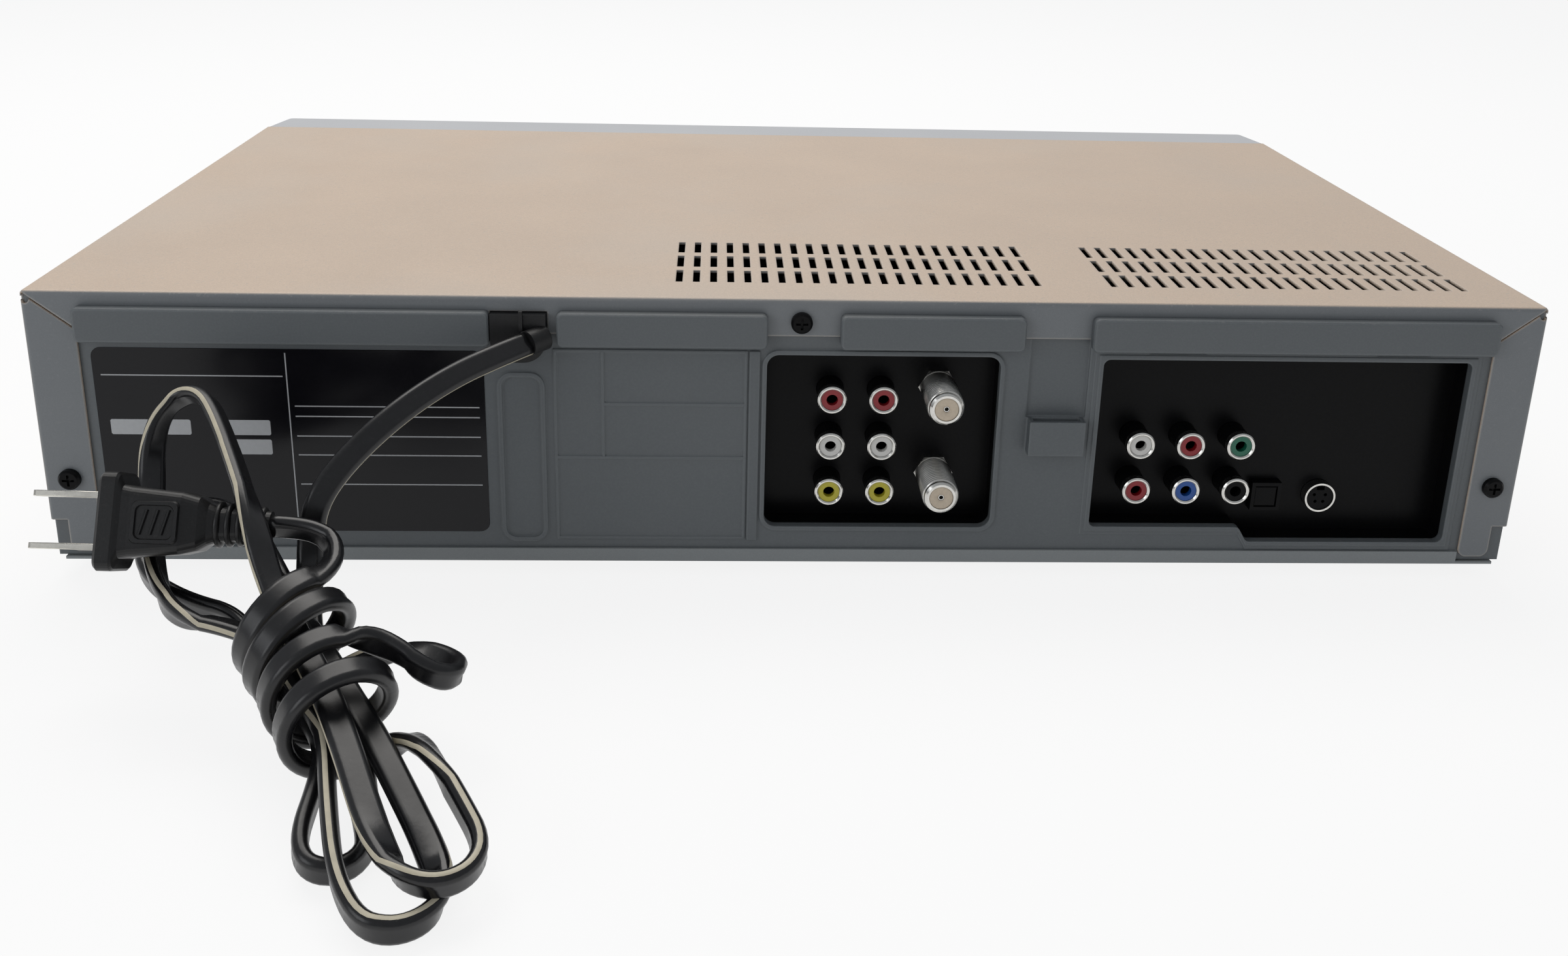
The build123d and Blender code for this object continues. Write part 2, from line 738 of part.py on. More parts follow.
optical_face_y = pocket_y + 3.0
shutter_r = 0.5
shutter_z = optical_z + shutter_size / 2 - shutter_r  # hinge line
shutter_y = optical_face_y - 1.0
shutter_depth = 7.4
with BuildPart() as optical_jack:
    with BuildSketch(facing_rear(board_rear_y - stack_depth)):
        with Locations((-optical_x, board_top_z)):
            Rectangle(
                optical_size,
                optical_z + optical_size / 2 - board_top_z,
                align=(Align.CENTER, Align.MIN),
            )
    extrude(amount=stack_depth)
    with BuildSketch(facing_rear(board_rear_y)):
        with Locations((-optical_x, optical_z)):
            Rectangle(optical_size, optical_size)
    extrude(amount=optical_face_y - board_rear_y)
    with BuildSketch(facing_rear(optical_face_y)):
        with Locations((-optical_x, optical_z)):
            Rectangle(shutter_size + 2 * gap, shutter_size + 2 * gap)
    extrude(amount=-shutter_depth - 1.0, mode=Mode.SUBTRACT)
    with BuildSketch(Plane.YZ.offset(optical_x - optical_size / 2)):
        with Locations((shutter_y, shutter_z)):
            Circle(shutter_r + running)
    extrude(amount=optical_size, mode=Mode.SUBTRACT)
save(optical_jack, "optical_jack")

with BuildPart() as optical_shutter:
    with BuildSketch(Plane.YZ.offset(optical_x - shutter_size / 2)):
        with Locations((shutter_y, shutter_z)):
            Rectangle(2 * shutter_r, shutter_size - shutter_r, align=(Align.CENTER, Align.MAX))
    extrude(amount=shutter_size)
    # the hinge pin, held in both side walls of the jack
    with BuildSketch(Plane.YZ.offset(optical_x - optical_size / 2 + gap)):
        with Locations((shutter_y, shutter_z)):
            Circle(shutter_r)
    extrude(amount=optical_size - 2 * gap)
save(optical_shutter, "optical_shutter")

# ---------------------------------------------------------------- boards and what they carry
tuner_x = (-54.0, -31.0)
tuner_height = 58.0
with BuildPart() as tuner_box:
    with BuildSketch(Plane.XY.offset(board_top_z)):
        with Locations((sum(tuner_x) / 2, board_rear_y - main_board_depth / 2)):
            Rectangle(tuner_x[1] - tuner_x[0], main_board_depth)
    extrude(amount=tuner_height)
    fillet(tuner_box.edges().filter_by(Axis.Z), 1.5)
save(tuner_box, "tuner_box")

for name, (low, high) in (("main_board", main_board_x), ("power_board", power_board_x)):
    with BuildPart() as board:
        with BuildSketch(Plane.XY.offset(board_z)):
            with Locations((low, board_rear_y)):
                Rectangle(high - low, main_board_depth, align=(Align.MIN, Align.MAX))
        extrude(amount=board_thickness)
    save(board, name)

transformer_x = 70.0
transformer_y = board_rear_y - 18.0
core_width = 36.0
core_depth = 26.0
core_height = 30.0
with BuildPart() as transformer:
    with BuildSketch(Plane.XY.offset(board_top_z + 3)):
        with Locations((transformer_x, transformer_y)):
            Rectangle(core_width, core_depth)
    extrude(amount=core_height)
    with BuildSketch(Plane.XY.offset(board_top_z)):
        with Locations((transformer_x, transformer_y)):
            RectangleRounded(core_width - 10, core_depth + 6, 3)
    extrude(amount=core_height - 2)
save(transformer, "transformer")

with BuildPart() as capacitors:
    for x, radius, height in ((104.0, 11.0, 34.0), (124.0, 6.5, 25.0), (140.0, 6.5, 25.0)):
        with BuildSketch(Plane.XY.offset(board_top_z)):
            with Locations((x, transformer_y)):
                Circle(radius)
        extrude(amount=height)
save(capacitors, "capacitors")

sink_x = 174.0
fin_count = 6
fin_pitch = 6.0
with BuildPart() as heat_sink:
    with BuildSketch(Plane.XY.offset(board_top_z)):
        with Locations((sink_x, transformer_y)):
            Rectangle((fin_count - 1) * fin_pitch + 2, 3)
            with GridLocations(fin_pitch, 1, fin_count, 1):
                Rectangle(1.4, 22)
    extrude(amount=38)
save(heat_sink, "heat_sink")

# ---------------------------------------------------------------- front panel
bezel_taper = 3.8
bezel_r = 3.0
groove_z = 44.5
door_axis_z = door_top_z - 2.0
door_axis_y = face_y + 2.8
window_x = -30.0
tray_slot_gap = 0.4
lug_width = 3.0
display_board_y = face_y + 14.0
boss_columns = (-179.0, -112.0, 48.0, 186.0)
boss_rows = (14.0, 36.0)
with BuildPart() as front_panel:
    with BuildSketch(Plane.XY.offset(base_z)) as plan:
        with BuildLine():
            Polyline(
                (-half_w, joint_y),
                (half_w, joint_y),
                (half_w - bezel_taper, face_y),
                (-half_w + bezel_taper, face_y),
                close=True,
            )
        make_face()
        fillet(plan.vertices().group_by(Axis.Y)[0], bezel_r)
    extrude(amount=body_height)
    offset(amount=-wall, openings=front_panel.faces().sort_by(Axis.Y)[-1])
    long_edges = front_panel.edges().filter_by(Axis.X).group_by(Axis.Y)[0]
    fillet([long_edges.sort_by(Axis.Z)[0], long_edges.sort_by(Axis.Z)[-1]], 1.8)
    # a groove between the deck openings and the row of buttons
    with BuildSketch(facing_front(face_y)):
        with Locations((0, groove_z)):
            Rectangle(body_width, 1.2)
    extrude(amount=-0.7, mode=Mode.SUBTRACT)
    # lugs for the cassette door's pins
    with BuildSketch(facing_front(face_y + 7.0)):
        with Locations((door_x, door_axis_z)):
            for side in (-1, 1):
                with Locations((side * (door_width / 2 + gap + lug_width / 2), 0)):
                    Rectangle(lug_width, 7.0)
    extrude(amount=7.0 - wall / 2)
    # openings
    with BuildSketch(facing_front(face_y)):
        with Locations((tray_x, tray_middle_z)):
            RectangleRounded(
                tray_front_width + 2 * tray_slot_gap,
                tray_front_height + 2 * tray_slot_gap,
                1.5,
            )
        with Locations((door_x, door_top_z + gap)):
            Rectangle(
                door_width + 2 * gap,
                door_height + 2 * gap,
                align=(Align.CENTER, Align.MAX),
            )
        with Locations((window_x, window_z)):
            RectangleRounded(window_width + 2 * seat, window_height + 2 * seat, 2.0)
        for _, x, width in buttons:
            with Locations((x, button_z)):
                RectangleRounded(width + 2 * gap, button_height + 2 * gap, 1.5)
    extrude(amount=-wall * 2, mode=Mode.SUBTRACT)
    with BuildSketch(Plane.YZ.offset(door_x - door_width / 2 - gap - lug_width)):
        with Locations((door_axis_y, door_axis_z)):
            Circle(door_pin_r + running)
    extrude(amount=door_width + 2 * (gap + lug_width), mode=Mode.SUBTRACT)
    # bosses that carry the display board
    with BuildSketch(facing_front(display_board_y)):
        with Locations([(x, z) for x in boss_columns for z in boss_rows]):
            Circle(2.8)
    extrude(amount=display_board_y - face_y - wall)
save(front_panel, "front_panel")

with BuildPart() as display_window:
    with BuildSketch(facing_front(face_y + 0.2)):
        with Locations((window_x, window_z)):
            RectangleRounded(window_width, window_height, 1.9)
    extrude(amount=-(wall - 0.2))
    with BuildSketch(facing_front(face_y + wall)):
        with Locations((window_x, window_z)):
            Rectangle(window_width + 4, window_height + 4)
    extrude(amount=-1.2)
save(display_window, "display_window")

tube_width = 92.0
tube_height = 15.0
tube_depth = 6.0
switch_size = 6.0
switch_depth = 3.4
switch_tip = 1.0
switch_tip_y = display_board_y - switch_depth - switch_tip
with BuildPart() as display_board:
    block(
        (boss_columns[0] - 22, boss_columns[-1] + 8),
        (display_board_y, display_board_y + board_thickness),
        (boss_rows[0] - 4, boss_rows[1] + 2.4),
    )
    block(
        (window_x - tube_width / 2, window_x + tube_width / 2),
        (display_board_y - tube_depth, display_board_y),
        (window_z - tube_height / 2, window_z + tube_height / 2),
    )
    with BuildSketch(facing_front(display_board_y)):
        with Locations([(x, button_z) for _, x, _ in buttons]):
            Rectangle(switch_size, switch_size)
    extrude(amount=switch_depth)
    with BuildSketch(facing_front(display_board_y)):
        with Locations([(x, button_z) for _, x, _ in buttons]):
            Rectangle(2.4, 2.4)
    extrude(amount=switch_depth + switch_tip)
save(display_board, "display_board")

button_rim = 1.4
for name, x, width in buttons:
    with BuildPart() as button:
        with BuildSketch(facing_front(face_y + wall + seat)):
            with Locations((x, button_z)):
                RectangleRounded(width, button_height, 1.4)
        extrude(amount=wall + seat + button_proud)
        chamfer(button.faces().sort_by(Axis.Y)[0].edges(), 0.5)
        with BuildSketch(facing_front(face_y + wall + seat)):
            with Locations((x, button_z)):
                Rectangle(width + 2 * button_rim, button_height + 2 * button_rim)
        extrude(amount=-1.2)
        with BuildSketch(facing_front(switch_tip_y - button_travel - gap)):
            with Locations((x, button_z)):
                Rectangle(4, 4)
        extrude(amount=switch_tip_y - button_travel - gap - face_y - wall - seat)
    save(button, name)

door_barrel_r = 2.0
with BuildPart() as cassette_door:
    with BuildSketch(Plane.YZ.offset(door_x - door_width / 2)):
        with BuildLine():
            Polyline(
                (face_y, door_top_z - door_height),
                (face_y, door_top_z - 1.2),
                (face_y + 0.9, door_top_z),
                (face_y + door_thickness, door_top_z),
                (face_y + door_thickness, door_top_z - door_height),
                close=True,
            )
        make_face()
        with Locations((door_axis_y, door_axis_z)):
            Circle(door_barrel_r)
    extrude(amount=door_width)
    with BuildSketch(Plane.YZ.offset(door_x - door_width / 2 - gap - lug_width + seat)):
        with Locations((door_axis_y, door_axis_z)):
            Circle(door_pin_r)
    extrude(amount=door_width + 2 * (gap + lug_width - seat))
    # two shallow lines along the door
    with BuildSketch(facing_front(face_y)):
        with Locations((door_x, door_top_z - 8.0), (door_x, door_top_z - 24.0)):
            Rectangle(door_width - 16, 0.8)
    extrude(amount=-0.4, mode=Mode.SUBTRACT)
save(cassette_door, "cassette_door")

# ---------------------------------------------------------------- cover screws
screw_spots = [
    (0, top_z - screw_down),
    (half_w - side_screw_in, top_z - side_screw_down),
    (-half_w + side_screw_in, top_z - side_screw_down),
]
with BuildPart() as cover_screws:
    with BuildSketch(facing_rear(rear_y)):
        with Locations(screw_spots):
            Circle(3.05)
    extrude(amount=1.9)
    chamfer(cover_screws.faces().group_by(Axis.Y)[-1].edges(), 0.6)
    with BuildSketch(facing_rear(panel_in_y - 2.5)):
        with Locations(screw_spots):
            Circle(1.5)
    extrude(amount=rear_y - panel_in_y + 2.5)
    with BuildSketch(facing_rear(rear_y + 1.9)):
        with Locations(screw_spots):
            Rectangle(3.4, 0.7)
            Rectangle(0.7, 3.4)
    extrude(amount=-0.8, mode=Mode.SUBTRACT)
save(cover_screws, "cover_screws")

# ---------------------------------------------------------------- disc drive
tray_side_x = (tray_x - tray_width / 2, tray_x + tray_width / 2)
tray_front_depth = 2.6
tray_start_y = face_y + tray_front_depth
tray_end_y = tray_start_y + tray_length
loader_x = (tray_x - loader_half_w, tray_x + loader_half_w)
loader_y = (loader_front_y, loader_front_y + loader_depth)
loader_top_z = 72.0
guide_width = 2.6
guide_height = 1.6
pin_r = 2.0
gear_y = face_y + 20.0
rack_x = tray_x - 57.0  # pitch line of the rack
backlash = 0.12
gear_x = rack_x + gear_r + backlash
traverse_x = (tray_x - 38.0, tray_x + 38.0)
traverse_y = (disc_y - 20.0, disc_y + 80.0)
traverse_z = (45.0, 47.0)
traverse_drop = 4.0
pin_inset = 5.0
guide_pins = [
    (x, y)
    for x in (traverse_x[0] + pin_inset, traverse_x[1] - pin_inset)
    for y in (traverse_y[0] + pin_inset, traverse_y[1] - pin_inset)
]
gear_low_z = tray_low_z - gear_thickness - 0.6
with BuildPart() as loader_frame:
    block(loader_x, loader_y, (loader_z, loader_z + 2))
    block(
        (loader_x[0] + 14, loader_x[1] - 14),
        (loader_y[0] + 34, loader_y[1] - 34),
        (loader_z, loader_z + 2),
        Mode.SUBTRACT,
    )
    for x in (loader_x[0], loader_x[1] - loader_wall):
        block((x, x + loader_wall), loader_y, (loader_z, loader_top_z))
    block(loader_x, (loader_y[1] - loader_wall, loader_y[1]), (loader_z, tray_low_z - 2))
    # ledges under the tray's edges and lips over them
    for low, high in (
        (tray_low_z - seat - guide_height, tray_low_z - seat),
        (tray_top_z + gap, tray_top_z + gap + guide_height),
    ):
        block((loader_x[0], loader_x[0] + loader_wall + guide_width), loader_y, (low, high))
        block((loader_x[1] - loader_wall - guide_width, loader_x[1]), loader_y, (low, high))
    # bars and pins that carry the traverse
    for x in (traverse_x[0], traverse_x[1] - 2 * pin_inset):
        block((x, x + 2 * pin_inset), (loader_y[0], loader_y[1]), (loader_z, loader_z + 2))
    for x, y in guide_pins:
        post(x, y, loader_z, traverse_z[1] + 1.0, pin_r)
    # the tray gear's stud
    post(gear_x, gear_y, loader_z, gear_low_z - seat, 4.0)
    post(gear_x, gear_y, loader_z, gear_low_z + gear_thickness - 0.4, pin_r)
    block(
        (gear_x - 6, gear_x + 6),
        (gear_y - 4, loader_y[0] + 2),
        (loader_z, loader_z + 2),
    )
save(loader_frame, "loader_frame")

slot_front_y = disc_y - 6.0
tray_rim = 5.0
with BuildPart() as dvd_tray:
    block(tray_side_x, (tray_start_y, tray_end_y), (tray_low_z, tray_top_z))
    fillet(dvd_tray.edges().filter_by(Axis.Z).group_by(Axis.Y)[-1], 3.0)
    # recesses for large and small discs
    post(tray_x, disc_y, tray_top_z - disc_recess, tray_top_z, disc_r, Mode.SUBTRACT)
    post(tray_x, disc_y, tray_top_z - 2 * disc_recess, tray_top_z, 41.0, Mode.SUBTRACT)
    # slot for the turntable and the laser, open to the rear
    post(tray_x, slot_front_y, tray_low_z, tray_top_z, tray_slot_width / 2, Mode.SUBTRACT)
    block(
        (tray_x - tray_slot_width / 2, tray_x + tray_slot_width / 2),
        (slot_front_y, tray_end_y),
        (tray_low_z, tray_top_z),
        Mode.SUBTRACT,
    )
    # hollow underneath, beside the slot
    for side in (-1, 1):
        near = tray_x + side * (tray_slot_width / 2 + 2)
        far = tray_x + side * (tray_width / 2 - tray_rim - 4)
        block(
            (min(near, far), max(near, far)),
            (tray_start_y + 12, tray_end_y - 4),
            (tray_low_z, tray_low_z + 2.0),
            Mode.SUBTRACT,
        )
    # rack along the left edge
    rack_low_z = tray_low_z - gear_thickness
    rack_start_y = gear_y - 5.0
    block(
        (rack_x - 3.0, rack_x - 1.25 * gear_module),
        (rack_start_y, tray_end_y - 3.0),
        (rack_low_z, tray_low_z + 0.5),
    )
    block(
        (rack_x - 3.0, rack_x + gear_module),
        (rack_start_y, tray_end_y - 3.0),
        (tray_low_z, tray_low_z + 2.0),
    )
    tooth_pitch = pi * gear_module
    tooth_count = int((tray_end_y - 3.0 - gear_y) / tooth_pitch)
    root_half = tooth_pitch / 4 + 1.25 * gear_module * tan(radians(20)) - 0.05
    tip_half = tooth_pitch / 4 - gear_module * tan(radians(20)) - 0.05
    with BuildSketch(Plane.XY.offset(rack_low_z)):
        for tooth in range(-1, tooth_count):
            middle = gear_y + (tooth + 0.5) * tooth_pitch
            with BuildLine():
                Polyline(
                    (rack_x - 1.5 * gear_module, middle - root_half),
                    (rack_x + gear_module, middle - tip_half),
                    (rack_x + gear_module, middle + tip_half),
                    (rack_x - 1.5 * gear_module, middle + root_half),
                    close=True,
                )
            make_face()
    extrude(amount=gear_thickness + 0.5)
save(dvd_tray, "dvd_tray")

with BuildPart() as tray_front:
    with BuildSketch(facing_front(tray_start_y)):
        with Locations((tray_x, tray_middle_z)):
            RectangleRounded(tray_front_width, tray_front_height, 1.2)
    extrude(amount=tray_front_depth)
    chamfer(tray_front.faces().sort_by(Axis.Y)[0].edges(), 0.5)
save(tray_front, "tray_front")

with BuildPart() as tray_gear:
    outline = []
    tooth_turn = 2 * pi / gear_teeth
    for tooth in range(gear_teeth):
        # a tooth points at the rack, between two of its teeth
        middle = pi + tooth * tooth_turn
        for radius, half in (
            (gear_r - 1.25 * gear_module, 0.36),
            (gear_r - 0.2, 0.255),
            (gear_r + gear_module, 0.12),
        ):
            outline.append((radius, middle - half * tooth_turn))
        for radius, half in (
            (gear_r + gear_module, 0.12),
            (gear_r - 0.2, 0.255),
            (gear_r - 1.25 * gear_module, 0.36),
        ):
            outline.append((radius, middle + half * tooth_turn))
    with BuildSketch(Plane.XY.offset(gear_low_z)):
        with BuildLine():
            Polyline(
                *[(gear_x + r * cos(a), gear_y + r * sin(a)) for r, a in outline],
                close=True,
            )
        make_face()
    extrude(amount=gear_thickness)
    post(gear_x, gear_y, gear_low_z, gear_low_z + gear_thickness, pin_r + running, Mode.SUBTRACT)
save(tray_gear, "tray_gear")

motor_x = gear_x + 22.0
motor_y = loader_y[0] + 16.0
with BuildPart() as tray_motor:
    post(motor_x, motor_y, loader_z + 2, loader_z + 12, 10.5)
    post(motor_x, motor_y, loader_z + 12, loader_z + 13, 3.0)
    post(motor_x, motor_y, loader_z + 13, loader_z + 16, 4.0)
save(tray_motor, "tray_motor")

rod_z = 50.5
rod_xs = (tray_x - 22.0, tray_x + 22.0)
rod_y = (disc_y + 14.0, disc_y + 76.0)
spindle_motor_r = 12.0
turntable_z = 65.0
with BuildPart() as traverse_frame:
    block(traverse_x, traverse_y, traverse_z)
    block(
        (traverse_x[0] + 10, traverse_x[1] - 10),
        (disc_y + 18, traverse_y[1] - 8),
        traverse_z,
        Mode.SUBTRACT,
    )
    post(tray_x, disc_y, traverse_z[0], turntable_z - 3, spindle_motor_r)
    post(tray_x, disc_y, traverse_z[0], turntable_z + 2, 1.5)
    for x in rod_xs:
        for y in rod_y:
            block((x - 3, x + 3), (y - 1.5, y + 1.5), (traverse_z[0], rod_z + 3))
        with BuildSketch(facing_rear(rod_y[0])):
            with Locations((-x, rod_z)):
                Circle(rod_r)
        extrude(amount=rod_y[1] - rod_y[0])
    for x, y in guide_pins:
        post(x, y, traverse_z[0], traverse_z[1], pin_r + running, Mode.SUBTRACT)
save(traverse_frame, "traverse_frame")

with BuildPart() as turntable:
    post(tray_x, disc_y, turntable_z - 2, turntable_z, 6.0)
    post(tray_x, disc_y, turntable_z, turntable_z + 1.6, turntable_r)
    with Locations((tray_x, disc_y, turntable_z + 1.6)):
        Cone(cone_r, cone_r - 1.4, 2.4, align=(Align.CENTER, Align.CENTER, Align.MIN))
    post(tray_x, disc_y, turntable_z - 2, turntable_z + 2.4, 1.5 + running, Mode.SUBTRACT)
save(turntable, "turntable")

sled_y = (disc_y + 17.0, disc_y + 38.0)
sled_z = (rod_z - 2.4, rod_z + 6.5)
with BuildPart() as laser_sled:
    block((rod_xs[0] - 4, rod_xs[1] + 4), sled_y, sled_z)
    post(tray_x, sum(sled_y) / 2, sled_z[1], sled_z[1] + 1.2, 9.0)
    post(tray_x, sum(sled_y) / 2, sled_z[1], sled_z[1] + 4.0, 3.0)
    with BuildSketch(facing_rear(sled_y[0])):
        with Locations([(-x, rod_z) for x in rod_xs]):
            Circle(rod_r + running)
    extrude(amount=sled_y[1] - sled_y[0], mode=Mode.SUBTRACT)
save(laser_sled, "laser_sled")

bridge_half = 14.0
clamp_r = 15.0
neck_r = 8.0
bridge_thickness = 1.2
with BuildPart() as clamp_bridge:
    block(
        loader_x,
        (disc_y - bridge_half, disc_y + bridge_half),
        (loader_top_z, loader_top_z + bridge_thickness),
    )
    post(
        tray_x,
        disc_y,
        loader_top_z,
        loader_top_z + bridge_thickness,
        neck_r + 1.0,
        Mode.SUBTRACT,
    )
save(clamp_bridge, "clamp_bridge")

with BuildPart() as disc_clamper:
    bridge_top = loader_top_z + bridge_thickness
    post(tray_x, disc_y, bridge_top + seat, bridge_top + seat + 1.2, neck_r + 4.0)
    post(tray_x, disc_y, loader_top_z - 0.4, bridge_top + seat, neck_r)
    post(tray_x, disc_y, loader_top_z - 2.2, loader_top_z - 0.4, clamp_r)
save(disc_clamper, "disc_clamper")

# ---------------------------------------------------------------- tape deck
deck_x = (door_x - deck_width / 2, door_x + deck_width / 2)
cassette_y = deck_front_y + 3.0  # label side of a loaded cassette
reel_y = cassette_y + 48.0
reel_xs = (door_x - reel_spacing / 2, door_x + reel_spacing / 2)
drum_y = deck_rear_y - drum_r - 2.5
drum_z = deck_z + 5.0
capstan_x = door_x + 54.0
capstan_y = chassis_mid_y - 12 + 25.0  # over a bar of the chassis floor
roller_y = capstan_y + capstan_r + pinch_r + pinch_gap
pivot_x = capstan_x + pinch_arm
flywheel_z = (floor_z + 4.6, floor_z + 10.6)
with BuildPart() as deck_plate:
    block(deck_x, (deck_front_y, deck_rear_y), (deck_z - deck_thickness, deck_z))
    fillet(deck_plate.edges().filter_by(Axis.Z), 3.0)
    # reel studs, guide posts and the pinch arm's stud
    for x in reel_xs:
        post(x, reel_y, deck_z, deck_z + 5.0, pin_r)
    for x, y in ((36.0, 22.0), (46.0, 52.0), (56.0, 66.0), (136.0, 60.0), (140.0, 34.0)):
        post(x, y, deck_z, deck_z + 22.0, 2.6)
        post(x, y, deck_z + 20.0, deck_z + 22.0, 3.6)
    post(pivot_x, roller_y, deck_z, deck_z + 4.4, pin_r)
    # capstan bearing
    post(capstan_x, capstan_y, deck_z, deck_z + 7.0, 4.0)
    post(
        capstan_x,
        capstan_y,
        deck_z - deck_thickness,
        deck_z + 7.0,
        capstan_r + running,
        Mode.SUBTRACT,
    )
save(deck_plate, "deck_plate")

lean = radians(drum_tilt)
drum_axis = (sin(lean), 0, cos(lean))
drum_plane = Plane(origin=(door_x, drum_y, drum_z), x_dir=(cos(lean), 0, -sin(lean)), z_dir=drum_axis)
lower_drum = 9.0
upper_drum = 11.0
with BuildPart() as drum_base:
    post(door_x, drum_y, deck_z, drum_z + 1.0, drum_r - 8)
    with BuildSketch(drum_plane):
        Circle(drum_r)
    extrude(amount=lower_drum)
    with BuildSketch(drum_plane.offset(lower_drum)):
        Circle(4.0)
    extrude(amount=upper_drum - 2)
save(drum_base, "drum_base")

with BuildPart() as head_drum:
    with BuildSketch(drum_plane.offset(lower_drum + gap)):
        Circle(drum_r)
    extrude(amount=upper_drum)
    with BuildSketch(drum_plane.offset(lower_drum + gap)):
        Circle(4.0 + running)
    extrude(amount=upper_drum - 1.5, mode=Mode.SUBTRACT)
    with BuildSketch(drum_plane.offset(lower_drum + gap + upper_drum)):
        with PolarLocations(16.0, 6):
            Circle(3.0)
    extrude(amount=-3.0, mode=Mode.SUBTRACT)
    # the two heads, across from each other in windows at the lower edge
    with BuildSketch(drum_plane.offset(lower_drum + gap)):
        with Locations((drum_r, 0), (-drum_r, 0)):
            Rectangle(4.0, 5.0)
    extrude(amount=1.6, mode=Mode.SUBTRACT)
save(head_drum, "head_drum")

with BuildPart() as capstan:
    post(capstan_x, capstan_y, flywheel_z[0], deck_z + 30.0, capstan_r)
    post(capstan_x, capstan_y, flywheel_z[0], flywheel_z[1], flywheel_r)
    post(capstan_x, capstan_y, flywheel_z[1], deck_z - deck_thickness - gap, 6.0)
save(capstan, "capstan")

arm_z = (deck_z + 0.3, deck_z + 3.0)
roller_z = (deck_z + 8.0, deck_z + 24.0)
with BuildPart() as pinch_lever:
    with BuildSketch(Plane.XY.offset(arm_z[0])):
        with Locations((pivot_x, roller_y), (capstan_x, roller_y)):
            Circle(3.8)
        with Locations(((pivot_x + capstan_x) / 2, roller_y)):
            Rectangle(pinch_arm, 6.0)
    extrude(amount=arm_z[1] - arm_z[0])
    post(pivot_x, roller_y, arm_z[0], arm_z[1], pin_r + running, Mode.SUBTRACT)
    post(capstan_x, roller_y, arm_z[0], roller_z[0] - seat, 2.8)
    post(capstan_x, roller_y, arm_z[0], roller_z[1] + 1.0, 1.5)
save(pinch_lever, "pinch_lever")

with BuildPart() as pinch_roller:
    post(capstan_x, roller_y, roller_z[0], roller_z[1], pinch_r)
    post(capstan_x, roller_y, roller_z[0], roller_z[1], 1.5 + running, Mode.SUBTRACT)
save(pinch_roller, "pinch_roller")

for name, x in (("supply_reel", reel_xs[0]), ("takeup_reel", reel_xs[1])):
    with BuildPart() as reel:
        post(x, reel_y, deck_z + 0.3, deck_z + 3.3, 20.0)
        post(x, reel_y, deck_z + 3.3, deck_z + 14.0, 4.0)
        with Locations((x, reel_y, deck_z + 3.3)):
            with PolarLocations(4.0, 3):
                Box(4.0, 1.8, 9.0, align=(Align.CENTER, Align.CENTER, Align.MIN))
        post(x, reel_y, deck_z + 0.3, deck_z + 5.2, pin_r + running, Mode.SUBTRACT)
    save(reel, name)

holder_wall = 1.2
holder_half = cassette_width / 2 + 1.0
holder_floor_z = door_top_z - door_height + 1.4
holder_inner_z = holder_floor_z + holder_wall + cassette_height + 1.0
holder_y = (deck_front_y + 1.0, cassette_y + cassette_depth + 1.0)
cage_in = holder_half + holder_wall + 0.8
guide_pin_ys = (holder_y[0] + 12.0, holder_y[1] - 16.0)
guide_pin_z = holder_floor_z + 14.0
with BuildPart() as cassette_cage:
    for side in (-1, 1):
        inner = door_x + side * cage_in
        outer = inner + side * holder_wall
        block(
            (min(inner, outer), max(inner, outer)),
            (holder_y[0], holder_y[1] + 4.0),
            (deck_z, holder_inner_z + 3.5),
        )
    # upright guide slots
    with BuildSketch(Plane.YZ.offset(door_x - cage_in - 2 * holder_wall)):
        for y in guide_pin_ys:
            with Locations((y, guide_pin_z - holder_drop / 2)):
                SlotOverall(holder_drop + 2 * pin_r + 2 * gap, 2 * pin_r + 2 * gap, rotation=90)
    extrude(amount=2 * cage_in + 4 * holder_wall, mode=Mode.SUBTRACT)
    # windows that lighten the sides
    with BuildSketch(Plane.YZ.offset(door_x - cage_in - 2 * holder_wall)):
        with Locations((sum(guide_pin_ys) / 2, guide_pin_z - 10)):
            RectangleRounded(38, 32, 4)
    extrude(amount=2 * cage_in + 4 * holder_wall, mode=Mode.SUBTRACT)
    for y in (holder_y[0], holder_y[1] - 8.0):
        block(
            (door_x - cage_in - holder_wall, door_x + cage_in + holder_wall),
            (y, y + 12.0),
            (holder_inner_z + 2.3, holder_inner_z + 3.5),
        )
save(cassette_cage, "cassette_cage")

with BuildPart() as cassette_holder:
    ledge = 9.0
    for side in (-1, 1):
        inner = door_x + side * holder_half
        outer = inner + side * holder_wall
        block(
            (min(inner, outer), max(inner, outer)),
            holder_y,
            (holder_floor_z, holder_inner_z),
        )
        inner = door_x + side * (holder_half - ledge)
        block(
            (min(inner, outer), max(inner, outer)),
            holder_y,
            (holder_floor_z, holder_floor_z + holder_wall),
        )
    for low in (holder_y[0] + 6.0, holder_y[1] - 30.0):
        block(
            (door_x - holder_half - holder_wall, door_x + holder_half + holder_wall),
            (low, low + 14.0),
            (holder_inner_z, holder_inner_z + holder_wall),
        )
    with BuildSketch(Plane.YZ.offset(door_x + holder_half)):
        with Locations([(y, guide_pin_z) for y in guide_pin_ys]):
            Circle(pin_r)
    extrude(amount=holder_wall + 0.8 + holder_wall)
    with BuildSketch(Plane.YZ.offset(door_x - holder_half)):
        with Locations([(y, guide_pin_z) for y in guide_pin_ys]):
            Circle(pin_r)
    extrude(amount=-(holder_wall + 0.8 + holder_wall))
save(cassette_holder, "cassette_holder")

